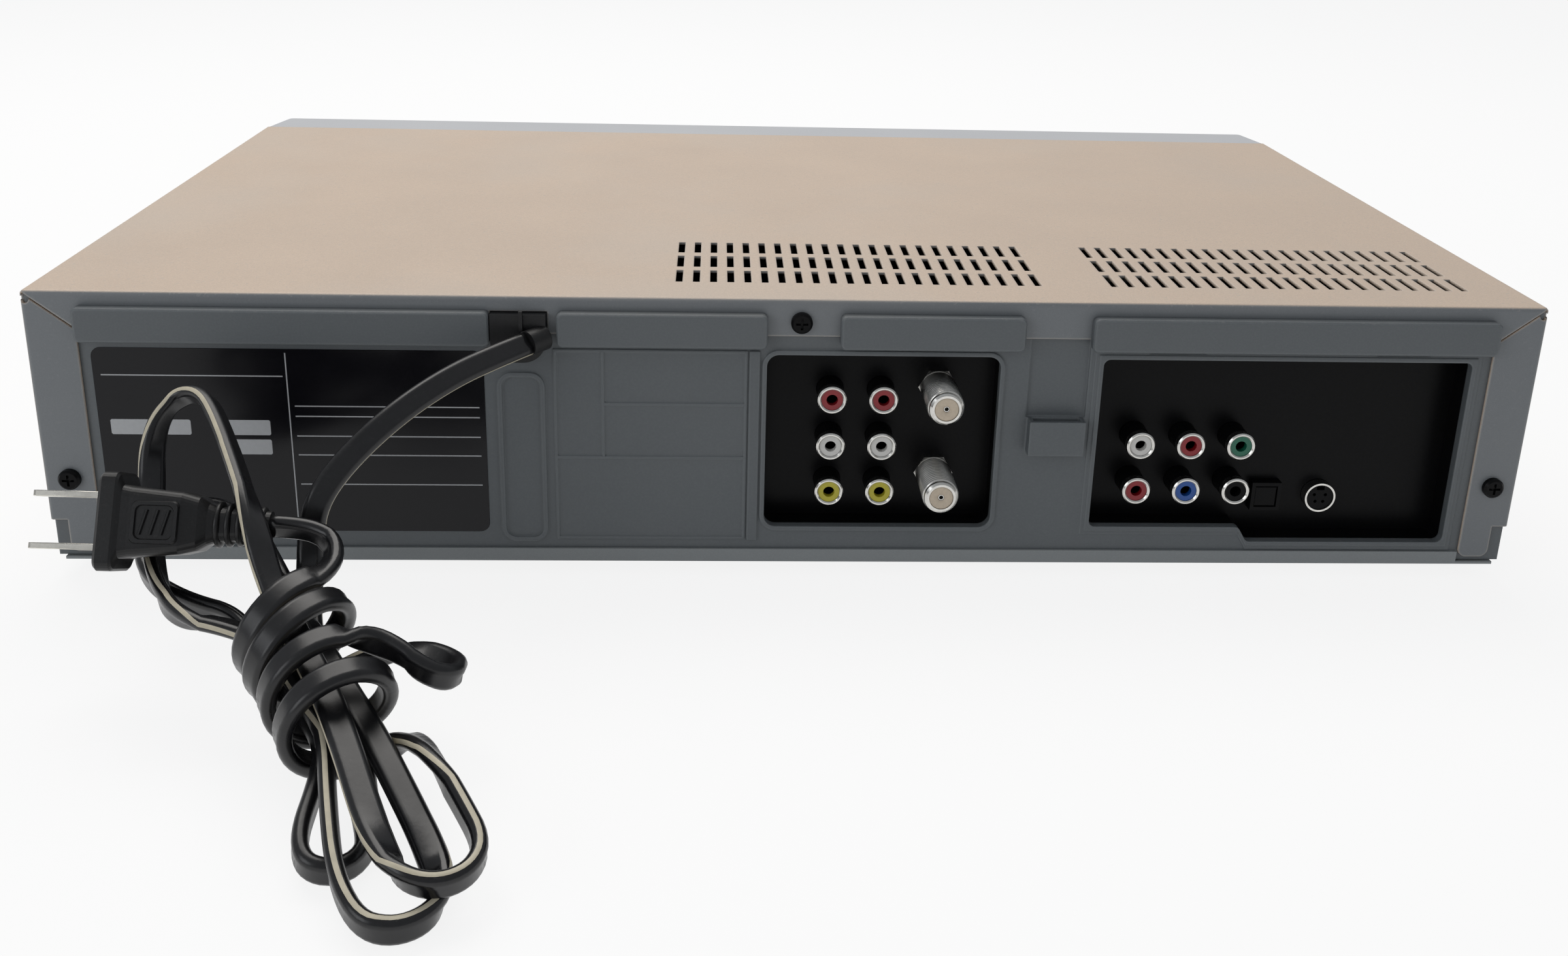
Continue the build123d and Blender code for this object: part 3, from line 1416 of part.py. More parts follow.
# ---------------------------------------------------------------- mains lead: its route
# The hank lies on the table behind the player. Its corner points are (along, across, above), from the
# middle of its waist: along runs down to the long lobes, across to the right seen from behind.
hank_middle = Vector(116.7, rear_y + 91.6, 23.8)
hank_along = Vector(-0.532, 0.801, -0.269).normalized()
hank_across = Vector(0, 0, 1).cross(hank_along).normalized()
hank_above = hank_along.cross(hank_across)
hank_plane = Plane(origin=hank_middle, x_dir=hank_along, z_dir=hank_above)
wrap_half_width = 13.7
wrap_half_height = 14.6
wrap_step = 45.0  # degrees between a wrap's corner points
arc_share = 0.45  # share of the shorter run that each arc takes

lobe_low = [
    (-27, 8.8, -6.0), (-16, 4.5, -5.8), (-3, 3.9, -5.8), (22, 2.8, -6.0), (35, -1.0, -7.0),
    (46.4, -4.5, -7.4), (50.5, -8.6, -7.3), (50.5, -14.4, -7.3), (46.0, -18.5, -7.4), (38.8, -16.8, -7.0),
    (30, -10.5, -6.4), (19, -4.0, -5.7), (4, -3.9, -5.8), (-14, -3.9, -6.6),
]
loop_low = [
    (-31, -6.0, -8.8), (-43, -16.0, -9.4), (-57, -21.5, -9.0), (-71, -19.5, -8.4), (-79.5, -12.0, -7.8),
    (-80, -2.5, -6.6), (-72, 4.5, -5.0), (-56, 6.5, -3.0), (-36, 5.0, -1.5), (-14, 3.9, 0), (6, 3.9, 0),
    (24, 4.8, 0),
]
lobe_middle = [
    (44, 4.6, -0.6), (58, 4.2, -1.2), (68.2, 2.5, -1.2), (73.5, -2.8, -0.7), (73.5, -10.2, -0.7),
    (68.2, -15.5, -1.2), (56, -15.4, -1.2), (40, -11.0, -0.6), (22, -5.0, 0), (6, -3.9, 0), (-10, -4.2, 0),
]
loop_high = [
    (-21, -12.5, -0.8), (-31, -22.0, -1.8), (-47, -21.5, -2.4), (-64, -18.5, -2.2), (-78, -14.5, -1.0),
    (-88, -11.5, 5.0), (-93, -7.5, 11.5), (-93, -1.5, 16.5), (-86, 2.0, 19.2), (-74, 1.8, 19.2),
    (-56, 0.2, 18.5), (-36, -1.8, 16.0), (-23, -2.6, 9.0), (-8, -2.0, 5.8), (12, -2.0, 5.8),
]
lobe_long = [
    (30, -3.6, 5.7), (48, -6.0, 5.0), (58, -6.6, 4.8), (65.7, -6.0, 4.7), (71, -0.7, 4.7), (71, 6.7, 4.7),
    (65.7, 12.0, 4.7), (54, 12.4, 4.6), (42, 12.6, 4.0), (31, 12.4, 1.0), (24.5, 11.6, -5.0),
]
loose_bight = [
    (11.6, 16.6, 9.0), (17.6, 19.4, 7.0), (20.0, 25.2, 4.4), (15.0, 30.0, 1.6), (4.0, 26.0, -1.5),
    (-5.5, 19.0, -7.0),
]
tail = [(-27.0, 15.6, 9.8), (-35.4, 12.5, 10.6), (-41.0, 4.2, 10.4)]


def wrap(first_turn, places):
    """Corner points of a turn round the waist, from its start in degrees and its places along the hank."""
    points = []
    for step, place in enumerate(places):
        turn = radians(first_turn - wrap_step * step)
        points.append((place, wrap_half_width * cos(turn), wrap_half_height * sin(turn)))
    return points


hank_corners = (
    lobe_low
    + loop_low
    + lobe_middle
    + loop_high
    + lobe_long
    + wrap(-45, (21.0, 18.5, 17.0, 16.5, 16.5, 16.5, 16.0, 14.0))
    + wrap(-45, (11.0, 8.5, 6.8, 6.0, 5.5, 5.0, 4.6))
    + loose_bight
    + wrap(-90, (-6.0, -3.5, -2.0, -2.8, -6.0, -10.0, -14.0))
    + wrap(-45, (-15.5, -13.0, -11.0, -9.5, -10.3, -14.0, -18.5))
    + tail
)
hank_route = [hank_plane.from_local_coords(corner) for corner in hank_corners]
# the lead from the gland to the hank: x, distance behind the rear plane, z
lead_corners = [
    (76.2, 6.0, 74.2),
    (82.1, 12.0, 73.4),
    (94.6, 22.0, 70.2),
    (107.4, 33.0, 63.8),
    (118.9, 42.0, 54.3),
    (125.3, 49.0, 45.8),
    (126.8, 50.4, 35.6),
]
hank_heading = (hank_route[1] - hank_route[0]).normalized()
lead_end_run = 10.0
lead_route = [Vector(x, rear_y + behind, z) for x, behind, z in lead_corners]
lead_route += [hank_route[0] - hank_heading * lead_end_run, hank_route[0]]


def bend_radii(route):
    """Radius of the arc at each inner corner of a route."""
    radii = []
    for before, corner, after in zip(route, route[1:], route[2:]):
        arriving = corner - before
        leaving = after - corner
        half_turn = radians(arriving.get_angle(leaving)) / 2
        radii.append(arc_share * min(arriving.length, leaving.length) / tan(half_turn))
    return radii


def least_gap(path, steps=900):
    """Smallest gap between two places of the lead that are not next to each other."""
    points = [tuple(path.position_at(step / steps)) for step in range(steps + 1)]
    apart = ceil(2.7 * cord_d * steps / path.length)
    nearest = min(dist(points[i], points[j]) for i in range(steps) for j in range(i + apart, steps + 1))
    return nearest - cord_d


# ---------------------------------------------------------------- mains lead: gland, lead and hank
lead_heading = (lead_route[1] - lead_route[0]).normalized()
gland_face_y = panel_y + seat
stub_r = 3.6
with BuildPart() as cord_gland:
    with BuildSketch(facing_rear(gland_face_y)) as gland_outline:
        with Locations((-gland_x, gland_z)):
            Rectangle(gland_width, gland_height)
        fillet(gland_outline.vertices().group_by(Axis.Y)[0], gland_width * 0.42)
    extrude(amount=gland_plate)
    # neck through the panel, with its snap ridge
    with BuildSketch(facing_rear(gland_face_y)):
        with Locations((-gland_x, gland_z)):
            Rectangle(gland_neck_width, gland_neck_height)
    extrude(amount=-(wall + seat + 2.0))
    with BuildSketch(facing_rear(panel_in_y - seat)):
        with Locations((-gland_x, gland_z)):
            Rectangle(gland_neck_width + 1.6, gland_neck_height)
    extrude(amount=-1.6)
    # rib above the plate, and the stub that turns the lead to the side
    with BuildSketch(facing_rear(gland_face_y + gland_plate)):
        with Locations((-gland_x + 1.0, gland_z)):
            Rectangle(1.0, gland_height / 2 + 1.4, align=(Align.CENTER, Align.MIN))
    extrude(amount=1.4)
    with BuildSketch(Plane(origin=lead_route[0] - lead_heading * gland_stub, z_dir=lead_heading)):
        Circle(stub_r)
    extrude(amount=gland_stub)
    block(
        (gland_x - gland_width, gland_x + gland_width),
        (gland_face_y - wall, gland_face_y),
        (gland_z - gland_height, gland_z - gland_neck_height / 2),
        Mode.SUBTRACT,
    )
save(cord_gland, "cord_gland")

with BuildPart() as power_cord:
    with BuildLine() as lead_line:
        FilletPolyline(*lead_route, radius=bend_radii(lead_route))
    with BuildSketch(Plane(origin=lead_route[0], z_dir=lead_heading)):
        Circle(cord_d / 2)
    sweep(path=lead_line.wire())
save(power_cord, "power_cord")

with BuildPart() as power_cord_hank:
    with BuildLine() as hank_line:
        FilletPolyline(*hank_route, radius=bend_radii(hank_route))
    with BuildSketch(Plane(origin=hank_route[0], z_dir=hank_heading)):
        Circle(cord_d / 2)
    sweep(path=hank_line.wire())
save(power_cord_hank, "power_cord_hank")
print("lead radii", [round(r, 1) for r in bend_radii(lead_route)])
print("hank radii", [round(r, 1) for r in bend_radii(hank_route)])
print("lead length", round(lead_line.wire().length, 1), "hank length", round(hank_line.wire().length, 1))
print("least gap of the hank to itself", round(least_gap(hank_line.wire()), 2))

# ---------------------------------------------------------------- mains plug
plug_neck_length = 15.0
plug_length = 25.0
plug_flange = 4.5
plug_half_width = 12.0
plug_half_height = 7.0
blade_length = 17.0
blade_width = 6.35
blade_thickness = 1.5
blade_pitch = 12.7
blade_hole_in = 4.5  # hole's middle from the blade's tip
plug_axis = (hank_route[-1] - hank_route[-2]).normalized()
plug_side = hank_above.cross(plug_axis).normalized()
plug_up = plug_axis.cross(plug_side)
plug_origin = hank_route[-1]
plug_face = plug_origin + plug_axis * (plug_neck_length + plug_length)
blade_hole = plug_face + plug_axis * (blade_length - blade_hole_in)
with BuildPart() as plug_body:
    with BuildSketch(Plane(origin=plug_origin, x_dir=plug_axis, z_dir=plug_up)):
        with BuildLine():
            back = plug_neck_length
            front = plug_neck_length + plug_length
            Polyline(
                (back, -5.0),
                (back + 6.0, -7.4),
                (front - plug_flange - 3.0, -8.6),
                (front - plug_flange, -plug_half_width),
                (front, -plug_half_width),
                (front, plug_half_width),
                (front - plug_flange, plug_half_width),
                (front - plug_flange - 3.0, 8.6),
                (back + 6.0, 7.4),
                (back, 5.0),
                close=True,
            )
        make_face()
    extrude(amount=plug_half_height, both=True)
    chamfer(plug_body.faces().filter_by(Axis(plug_origin, plug_up)).edges(), 1.2)
    # tapered neck round the lead
    with BuildSketch(Plane(origin=plug_origin, z_dir=plug_axis)):
        Circle(stub_r - 0.3)
    extrude(amount=plug_neck_length, taper=-3)
save(plug_body, "plug_body")

with BuildPart() as plug_blades:
    with BuildSketch(Plane(origin=plug_face, x_dir=plug_side, z_dir=plug_axis)):
        with GridLocations(blade_pitch, 1, 2, 1):
            Rectangle(blade_thickness, blade_width)
    extrude(amount=blade_length)
    with BuildSketch(Plane(origin=blade_hole, x_dir=plug_axis, z_dir=plug_side)):
        Circle(1.55)
    extrude(amount=blade_pitch, both=True, mode=Mode.SUBTRACT)
save(plug_blades, "plug_blades")
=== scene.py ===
"""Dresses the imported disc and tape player: finishes, the mains lead, small trim, the camera and the stage.

Everything is in metres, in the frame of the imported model: +X right seen from the front, +Y to the rear,
+Z up, with the origin on the table under the middle of the housing.
"""

import json
import math

import bmesh
import bpy
from mathutils import Matrix, Vector


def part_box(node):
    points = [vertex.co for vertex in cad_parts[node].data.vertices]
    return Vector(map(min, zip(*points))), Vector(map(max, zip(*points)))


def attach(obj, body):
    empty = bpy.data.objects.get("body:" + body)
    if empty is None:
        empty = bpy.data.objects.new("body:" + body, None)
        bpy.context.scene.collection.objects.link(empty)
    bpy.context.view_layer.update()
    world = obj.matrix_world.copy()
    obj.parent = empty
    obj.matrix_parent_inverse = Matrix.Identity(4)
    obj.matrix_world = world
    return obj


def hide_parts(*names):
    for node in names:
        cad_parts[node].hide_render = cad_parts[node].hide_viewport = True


bl_info = {
    "name": "Disc and tape player dressing",
    "version": (1, 0, 0),
    "blender": (4, 5, 0),
    "location": "3D View > Sidebar > Player",
    "description": "Finishes, mains lead, trim, camera and stage of a disc and tape player",
    "category": "Object",
}

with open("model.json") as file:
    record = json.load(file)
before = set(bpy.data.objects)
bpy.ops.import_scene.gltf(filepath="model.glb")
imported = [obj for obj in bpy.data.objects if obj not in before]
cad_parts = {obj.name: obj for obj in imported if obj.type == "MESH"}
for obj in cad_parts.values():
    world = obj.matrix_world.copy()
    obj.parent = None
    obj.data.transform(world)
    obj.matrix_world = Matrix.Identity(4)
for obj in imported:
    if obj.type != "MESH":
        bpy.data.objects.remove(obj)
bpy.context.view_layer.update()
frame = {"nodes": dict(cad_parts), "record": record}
HOUSING = "housing"
NODES = frame["nodes"]
RECORD = frame["record"]
COVER_LOW, COVER_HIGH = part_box("top_cover")
REAR_Y = COVER_HIGH.y
TOP_Z = COVER_HIGH.z
PANEL_Y = REAR_Y - 0.0009  # the rear panel's outer face

# ---------------------------------------------------------------- the lead's route
# Corner points of the hank: along its length, across it and above its middle.
LOBE_LOW = (
    (-0.027, 0.0088, -0.006), (-0.016, 0.0045, -0.0058), (-0.003, 0.0039, -0.0058),
    (0.022, 0.0028, -0.006), (0.035, -0.001, -0.0068), (0.0464, -0.0045, -0.0069),
    (0.0505, -0.0086, -0.0068), (0.0505, -0.0144, -0.0068), (0.046, -0.0185, -0.0069),
    (0.0388, -0.0168, -0.0067), (0.03, -0.0105, -0.0063), (0.019, -0.004, -0.0057),
    (0.004, -0.0039, -0.0058), (-0.014, -0.0039, -0.0066),
)
LOOP_LOW = (
    (-0.031, -0.006, -0.0088), (-0.043, -0.016, -0.0109), (-0.057, -0.0215, -0.013),
    (-0.071, -0.0195, -0.0134), (-0.0795, -0.012, -0.0133), (-0.08, -0.0025, -0.0121),
    (-0.072, 0.0045, -0.01), (-0.056, 0.0065, -0.006), (-0.036, 0.005, -0.0025), (-0.014, 0.0039, 0),
    (0.006, 0.0039, 0), (0.024, 0.0048, 0),
)
LOBE_MIDDLE = (
    (0.044, 0.0046, -0.0006), (0.058, 0.0042, -0.0012), (0.0682, 0.0025, -0.0012),
    (0.0735, -0.0028, -0.0004), (0.0735, -0.0102, -0.0004), (0.0682, -0.0155, -0.001),
    (0.056, -0.0154, -0.0012), (0.04, -0.011, -0.0006), (0.022, -0.005, 0), (0.006, -0.0039, 0),
    (-0.01, -0.0042, 0),
)
LOOP_HIGH = (
    (-0.021, -0.0125, -0.0008), (-0.031, -0.022, -0.003), (-0.047, -0.0215, -0.0062),
    (-0.064, -0.0185, -0.0064), (-0.078, -0.0145, -0.004), (-0.088, -0.0115, 0.005),
    (-0.093, -0.0075, 0.0115), (-0.093, -0.0015, 0.0165), (-0.086, 0.002, 0.0192),
    (-0.074, 0.0018, 0.0192), (-0.056, 0.0002, 0.0185), (-0.036, -0.0018, 0.016),
    (-0.023, -0.0026, 0.009), (-0.008, -0.002, 0.0058), (0.012, -0.002, 0.0058),
)
LOBE_LONG = (
    (0.03, -0.0036, 0.0057), (0.048, -0.006, 0.005), (0.058, -0.0066, 0.0048), (0.0657, -0.006, 0.0047),
    (0.071, -0.0007, 0.0047), (0.071, 0.0067, 0.0047), (0.0657, 0.012, 0.0047), (0.054, 0.0124, 0.0046),
    (0.042, 0.0126, 0.004), (0.031, 0.0124, 0.001), (0.0245, 0.0116, -0.005),
)
LOOSE_BIGHT = (
    (0.0116, 0.0166, 0.009), (0.0176, 0.0194, 0.007), (0.02, 0.0252, 0.0044), (0.015, 0.03, 0.0016),
    (0.004, 0.026, -0.0015), (-0.0055, 0.019, -0.007),
)
TAIL = ((-0.027, 0.0156, 0.0098), (-0.0354, 0.0125, 0.0106), (-0.041, 0.0042, 0.0104))
WRAPS_FAR = (
    (-45, (0.021, 0.0185, 0.017, 0.0165, 0.0165, 0.0165, 0.016, 0.014)),
    (-45, (0.011, 0.0085, 0.0068, 0.006, 0.0055, 0.005, 0.0046)),
)
WRAPS_NEAR = (
    (-90, (-0.006, -0.0035, -0.002, -0.0028, -0.006, -0.01, -0.014)),
    (-45, (-0.0155, -0.013, -0.011, -0.0095, -0.0103, -0.014, -0.0185)),
)
# From the gland to the hank: x, distance behind the rear plane, z.
LEAD_CORNERS = (
    (0.0762, 0.006, 0.0742), (0.0821, 0.012, 0.0734), (0.0946, 0.022, 0.0702), (0.1074, 0.033, 0.0638),
    (0.1189, 0.042, 0.0543), (0.1253, 0.049, 0.0458), (0.1268, 0.0504, 0.0356),
)
LEAD_END_RUN = 0.01
HANK_MIDDLE = Vector((0.1167, REAR_Y + 0.0916, 0.0238))
HANK_ALONG = Vector((-0.532, 0.801, -0.269)).normalized()
HANK_ACROSS = Vector((0, 0, 1)).cross(HANK_ALONG).normalized()
HANK_ABOVE = HANK_ALONG.cross(HANK_ACROSS)
WRAP_HALF_WIDTH = 0.0137
WRAP_HALF_HEIGHT = 0.0146
WRAP_STEP = 45
PLUG_TURN = math.radians(-50)  # the plug lies with its wide face turned to the rear
PLUG_SAG = 0.001


def in_hank(along, across, above):
    return HANK_MIDDLE + HANK_ALONG * along + HANK_ACROSS * across + HANK_ABOVE * above


def wrap_corners(first_turn, places):
    """Corner points of a turn round the hank's waist."""
    corners = []
    for step, place in enumerate(places):
        turn = math.radians(first_turn - WRAP_STEP * step)
        corners.append((place, WRAP_HALF_WIDTH * math.cos(turn), WRAP_HALF_HEIGHT * math.sin(turn)))
    return corners


def lead_route():
    """Every corner point from the gland to the plug, in metres."""
    corners = [*LOBE_LOW, *LOOP_LOW, *LOBE_MIDDLE, *LOOP_HIGH, *LOBE_LONG]
    for turn, places in WRAPS_FAR:
        corners += wrap_corners(turn, places)
    corners += LOOSE_BIGHT
    for turn, places in WRAPS_NEAR:
        corners += wrap_corners(turn, places)
    corners += TAIL
    hank = [in_hank(*corner) for corner in corners]
    heading = (hank[1] - hank[0]).normalized()
    hank[-1].z -= PLUG_SAG
    route = [Vector((x, REAR_Y + behind, z)) for x, behind, z in LEAD_CORNERS]
    route.append(hank[0] - heading * LEAD_END_RUN)
    return route + hank[1:]


def plug_frame():
    """Where the lead meets the plug, with the plug's length, width and thickness directions."""
    before, start = lead_route()[-2:]
    axis = (start - before).normalized()
    side = HANK_ABOVE.cross(axis).normalized()
    turn = Matrix.Rotation(PLUG_TURN, 3, axis)
    return start, axis, turn @ side, turn @ axis.cross(side)


# ---------------------------------------------------------------- settings
class PlayerLeadSettings(bpy.types.PropertyGroup):
    width: bpy.props.FloatProperty(
        name="Width", description="Width of the flat lead", default=0.0068, unit="LENGTH", precision=4
    )
    thickness: bpy.props.FloatProperty(
        name="Thickness", description="Thickness of the flat lead", default=0.0036, unit="LENGTH", precision=4
    )
    sheath: bpy.props.FloatVectorProperty(
        name="Sheath", description="Colour of the sheath", default=(0.005, 0.005, 0.006), subtype="COLOR"
    )
    stripe: bpy.props.FloatVectorProperty(
        name="Stripe", description="Colour of the marking on one edge", default=(0.55, 0.5, 0.38), subtype="COLOR"
    )


class PlayerLabelSettings(bpy.types.PropertyGroup):
    left: bpy.props.FloatProperty(
        name="Left", description="Left edge seen from behind, as X", default=0.198, unit="LENGTH", precision=4
    )
    right: bpy.props.FloatProperty(
        name="Right", description="Right edge seen from behind, as X", default=0.0895, unit="LENGTH", precision=4
    )
    drop: bpy.props.FloatProperty(
        name="Drop", description="Upper edge below the cover's top", default=0.0165, unit="LENGTH", precision=4
    )
    height: bpy.props.FloatProperty(
        name="Height", description="Height of the plate", default=0.056, unit="LENGTH", precision=4
    )
    film: bpy.props.FloatVectorProperty(
        name="Film", description="Colour of the film", default=(0.0035, 0.0035, 0.005), subtype="COLOR"
    )
    rule: bpy.props.FloatVectorProperty(
        name="Rules", description="Colour of the rules", default=(0.42, 0.43, 0.44), subtype="COLOR"
    )


class PlayerFinishSettings(bpy.types.PropertyGroup):
    cover: bpy.props.FloatVectorProperty(
        name="Cover", description="Paint on the cover's top and sides", default=(0.55, 0.437, 0.342), subtype="COLOR"
    )
    # The flange colour is painted shade: the cover paint made darker and cooler on faces that look to the rear.
    flange: bpy.props.FloatVectorProperty(
        name="Flange", description="Paint on the cover's rear flanges", default=(0.16, 0.172, 0.182), subtype="COLOR"
    )
    moulding: bpy.props.FloatVectorProperty(
        name="Moulding", description="Plastic of the rear panel", default=(0.098, 0.109, 0.116), subtype="COLOR"
    )


class PlayerStageSettings(bpy.types.PropertyGroup):
    lens: bpy.props.FloatProperty(name="Lens", description="Focal length in millimetres", default=34.44)
    camera_place: bpy.props.FloatVectorProperty(
        name="Camera", description="Place of the camera", default=(0.02483, 0.52584, 0.21075), subtype="TRANSLATION"
    )
    camera_turn: bpy.props.FloatVectorProperty(
        name="Turn",
        description="Turn of the camera",
        default=(math.radians(71.685), math.radians(-1.444), math.radians(177.644)),
        subtype="EULER",
    )
    camera_shift: bpy.props.FloatProperty(
        name="Shift", description="Upright shift of the frame", default=-0.0967
    )
    sky: bpy.props.FloatProperty(name="Sky", description="Strength of the even light", default=0.42)
    key: bpy.props.FloatProperty(name="Key", description="Power of the large lamp above", default=13.0, unit="POWER")
    fill: bpy.props.FloatProperty(name="Fill", description="Power of the lamp at the left", default=1.6, unit="POWER")


# ---------------------------------------------------------------- shared shader groups
def new_group(name, inputs, outputs):
    """A shader node group with its sockets; returns it with its input and output nodes."""
    group = bpy.data.node_groups.new(name, "ShaderNodeTree")
    for label, kind, value in inputs:
        socket = group.interface.new_socket(name=label, in_out="INPUT", socket_type=kind)
        socket.default_value = value
    for label, kind in outputs:
        group.interface.new_socket(name=label, in_out="OUTPUT", socket_type=kind)
    enter = group.nodes.new("NodeGroupInput")
    leave = group.nodes.new("NodeGroupOutput")
    enter.location = (-900, 0)
    leave.location = (700, 0)
    return group, enter, leave


def math_node(tree, operation, first, second, clamp=False):
    node = tree.nodes.new("ShaderNodeMath")
    node.operation = operation
    node.use_clamp = clamp
    for socket, value in zip(node.inputs, (first, second)):
        if isinstance(value, (int, float)):
            socket.default_value = value
        else:
            tree.links.new(value, socket)
    return node.outputs[0]


def noise_node(tree, place, scale, detail=3.0, roughness=0.55):
    node = tree.nodes.new("ShaderNodeTexNoise")
    node.inputs["Detail"].default_value = detail
    node.inputs["Roughness"].default_value = roughness
    tree.links.new(place, node.inputs["Vector"])
    if isinstance(scale, (int, float)):
        node.inputs["Scale"].default_value = scale
    else:
        tree.links.new(scale, node.inputs["Scale"])
    return node.outputs["Fac"]


def mix_colour(tree, factor, first, second):
    node = tree.nodes.new("ShaderNodeMix")
    node.data_type = "RGBA"
    tree.links.new(factor, node.inputs[0])
    for socket, value in ((node.inputs[6], first), (node.inputs[7], second)):
        if isinstance(value, (tuple, list)):
            socket.default_value = value
        else:
            tree.links.new(value, socket)
    return node.outputs[2]


def build_grain_group():
    """Fine grain: speckle of a second colour, uneven roughness and a height for the bump."""
    group, enter, leave = new_group(
        "Fine grain",
        (
            ("Colour", "NodeSocketColor", (0.5, 0.5, 0.5, 1)),
            ("Speckle", "NodeSocketColor", (0.4, 0.4, 0.4, 1)),
            ("Scale", "NodeSocketFloat", 2500.0),
            ("Amount", "NodeSocketFloat", 0.3),
            ("Roughness", "NodeSocketFloat", 0.5),
            ("Unevenness", "NodeSocketFloat", 0.1),
        ),
        (("Colour", "NodeSocketColor"), ("Roughness", "NodeSocketFloat"), ("Height", "NodeSocketFloat")),
    )
    place = group.nodes.new("ShaderNodeTexCoord").outputs["Object"]
    fine = noise_node(group, place, enter.outputs["Scale"], 2.0)
    broad = noise_node(group, place, 22.0, 4.0)
    speckle = math_node(group, "SUBTRACT", fine, 0.42)
    speckle = math_node(group, "MULTIPLY", speckle, 5.0, clamp=True)
    speckle = math_node(group, "MULTIPLY", speckle, enter.outputs["Amount"])
    cloud = math_node(group, "MULTIPLY", broad, 0.35)
    cloud = math_node(group, "MULTIPLY", cloud, enter.outputs["Amount"])
    factor = math_node(group, "ADD", speckle, cloud, clamp=True)
    colour = mix_colour(group, factor, enter.outputs["Colour"], enter.outputs["Speckle"])
    spread = math_node(group, "SUBTRACT", broad, 0.5)
    spread = math_node(group, "MULTIPLY", spread, enter.outputs["Unevenness"])
    spread = math_node(group, "MULTIPLY", spread, 3.0)
    rough = math_node(group, "ADD", enter.outputs["Roughness"], spread, clamp=True)
    group.links.new(colour, leave.inputs["Colour"])
    group.links.new(rough, leave.inputs["Roughness"])
    group.links.new(fine, leave.inputs["Height"])
    return group


def build_dust_group():
    """Dust and faint smears that settle on faces that look up."""
    group, enter, leave = new_group(
        "Settled dust",
        (
            ("Colour", "NodeSocketColor", (0.5, 0.5, 0.5, 1)),
            ("Dust", "NodeSocketColor", (0.45, 0.43, 0.4, 1)),
            ("Amount", "NodeSocketFloat", 0.2),
            ("Roughness", "NodeSocketFloat", 0.5),
        ),
        (("Colour", "NodeSocketColor"), ("Roughness", "NodeSocketFloat")),
    )
    place = group.nodes.new("ShaderNodeTexCoord").outputs["Object"]
    normal = group.nodes.new("ShaderNodeNewGeometry").outputs["Normal"]
    split = group.nodes.new("ShaderNodeSeparateXYZ")
    group.links.new(normal, split.inputs[0])
    smears = noise_node(group, place, 9.0, 6.0, 0.62)
    specks = noise_node(group, place, 900.0, 1.0)
    smears = math_node(group, "SUBTRACT", smears, 0.47)
    smears = math_node(group, "MULTIPLY", smears, 4.0, clamp=True)
    specks = math_node(group, "GREATER_THAN", specks, 0.69)
    cover = math_node(group, "ADD", smears, specks, clamp=True)
    upward = math_node(group, "MULTIPLY", split.outputs["Z"], 0.85)
    upward = math_node(group, "ADD", upward, 0.15, clamp=True)
    mask = math_node(group, "MULTIPLY", cover, upward)
    mask = math_node(group, "MULTIPLY", mask, enter.outputs["Amount"])
    colour = mix_colour(group, mask, enter.outputs["Colour"], enter.outputs["Dust"])
    rough = math_node(group, "ADD", enter.outputs["Roughness"], math_node(group, "MULTIPLY", mask, 0.5), clamp=True)
    group.links.new(colour, leave.inputs["Colour"])
    group.links.new(rough, leave.inputs["Roughness"])
    return group


def build_turning_group():
    """Fine rings or strokes left by turning and rolling, as a height and a change of roughness."""
    group, enter, leave = new_group(
        "Tool marks",
        (
            ("Scale", "NodeSocketFloat", 900.0),
            ("Roughness", "NodeSocketFloat", 0.3),
            ("Depth", "NodeSocketFloat", 0.15),
        ),
        (("Roughness", "NodeSocketFloat"), ("Height", "NodeSocketFloat")),
    )
    place = group.nodes.new("ShaderNodeTexCoord").outputs["Object"]
    stretch = group.nodes.new("ShaderNodeMapping")
    stretch.inputs["Scale"].default_value = (0.06, 1.0, 1.0)
    group.links.new(place, stretch.inputs["Vector"])
    strokes = noise_node(group, stretch.outputs[0], enter.outputs["Scale"], 3.0)
    change = math_node(group, "SUBTRACT", strokes, 0.5)
    change = math_node(group, "MULTIPLY", change, enter.outputs["Depth"])
    rough = math_node(group, "ADD", enter.outputs["Roughness"], change, clamp=True)
    group.links.new(rough, leave.inputs["Roughness"])
    group.links.new(strokes, leave.inputs["Height"])
    return group


def build_edge_highlight_group():
    """Lightens sharp edges with a painted highlight, and gives their rounded normal."""
    group, enter, leave = new_group(
        "Rounded edges with painted highlight",
        (
            ("Colour", "NodeSocketColor", (0.5, 0.5, 0.5, 1)),
            ("Edge", "NodeSocketColor", (0.7, 0.7, 0.7, 1)),
            ("Radius", "NodeSocketFloat", 0.0009),
            ("Amount", "NodeSocketFloat", 0.75),
        ),
        (("Colour", "NodeSocketColor"), ("Normal", "NodeSocketVector")),
    )
    rounded = group.nodes.new("ShaderNodeBevel")
    rounded.samples = 4
    group.links.new(enter.outputs["Radius"], rounded.inputs["Radius"])
    flat = group.nodes.new("ShaderNodeNewGeometry").outputs["Normal"]
    agreement = group.nodes.new("ShaderNodeVectorMath")
    agreement.operation = "DOT_PRODUCT"
    group.links.new(rounded.outputs[0], agreement.inputs[0])
    group.links.new(flat, agreement.inputs[1])
    # Painted highlight: the further the rounded normal turns from the flat one, the lighter the colour.
    edge_highlight_share = math_node(group, "SUBTRACT", 0.995, agreement.outputs["Value"])
    edge_highlight_share = math_node(group, "MULTIPLY", edge_highlight_share, 4.0, clamp=True)
    edge_highlight_share = math_node(group, "MULTIPLY", edge_highlight_share, enter.outputs["Amount"])
    group.links.new(mix_colour(group, edge_highlight_share, enter.outputs["Colour"], enter.outputs["Edge"]), leave.inputs["Colour"])
    group.links.new(rounded.outputs[0], leave.inputs["Normal"])
    return group


def shared_group(name, build):
    return bpy.data.node_groups.get(name) or build()


def placed_group(tree, name, build, **values):
    node = tree.nodes.new("ShaderNodeGroup")
    node.node_tree = shared_group(name, build)
    for label, value in values.items():
        node.inputs[label].default_value = value
    return node


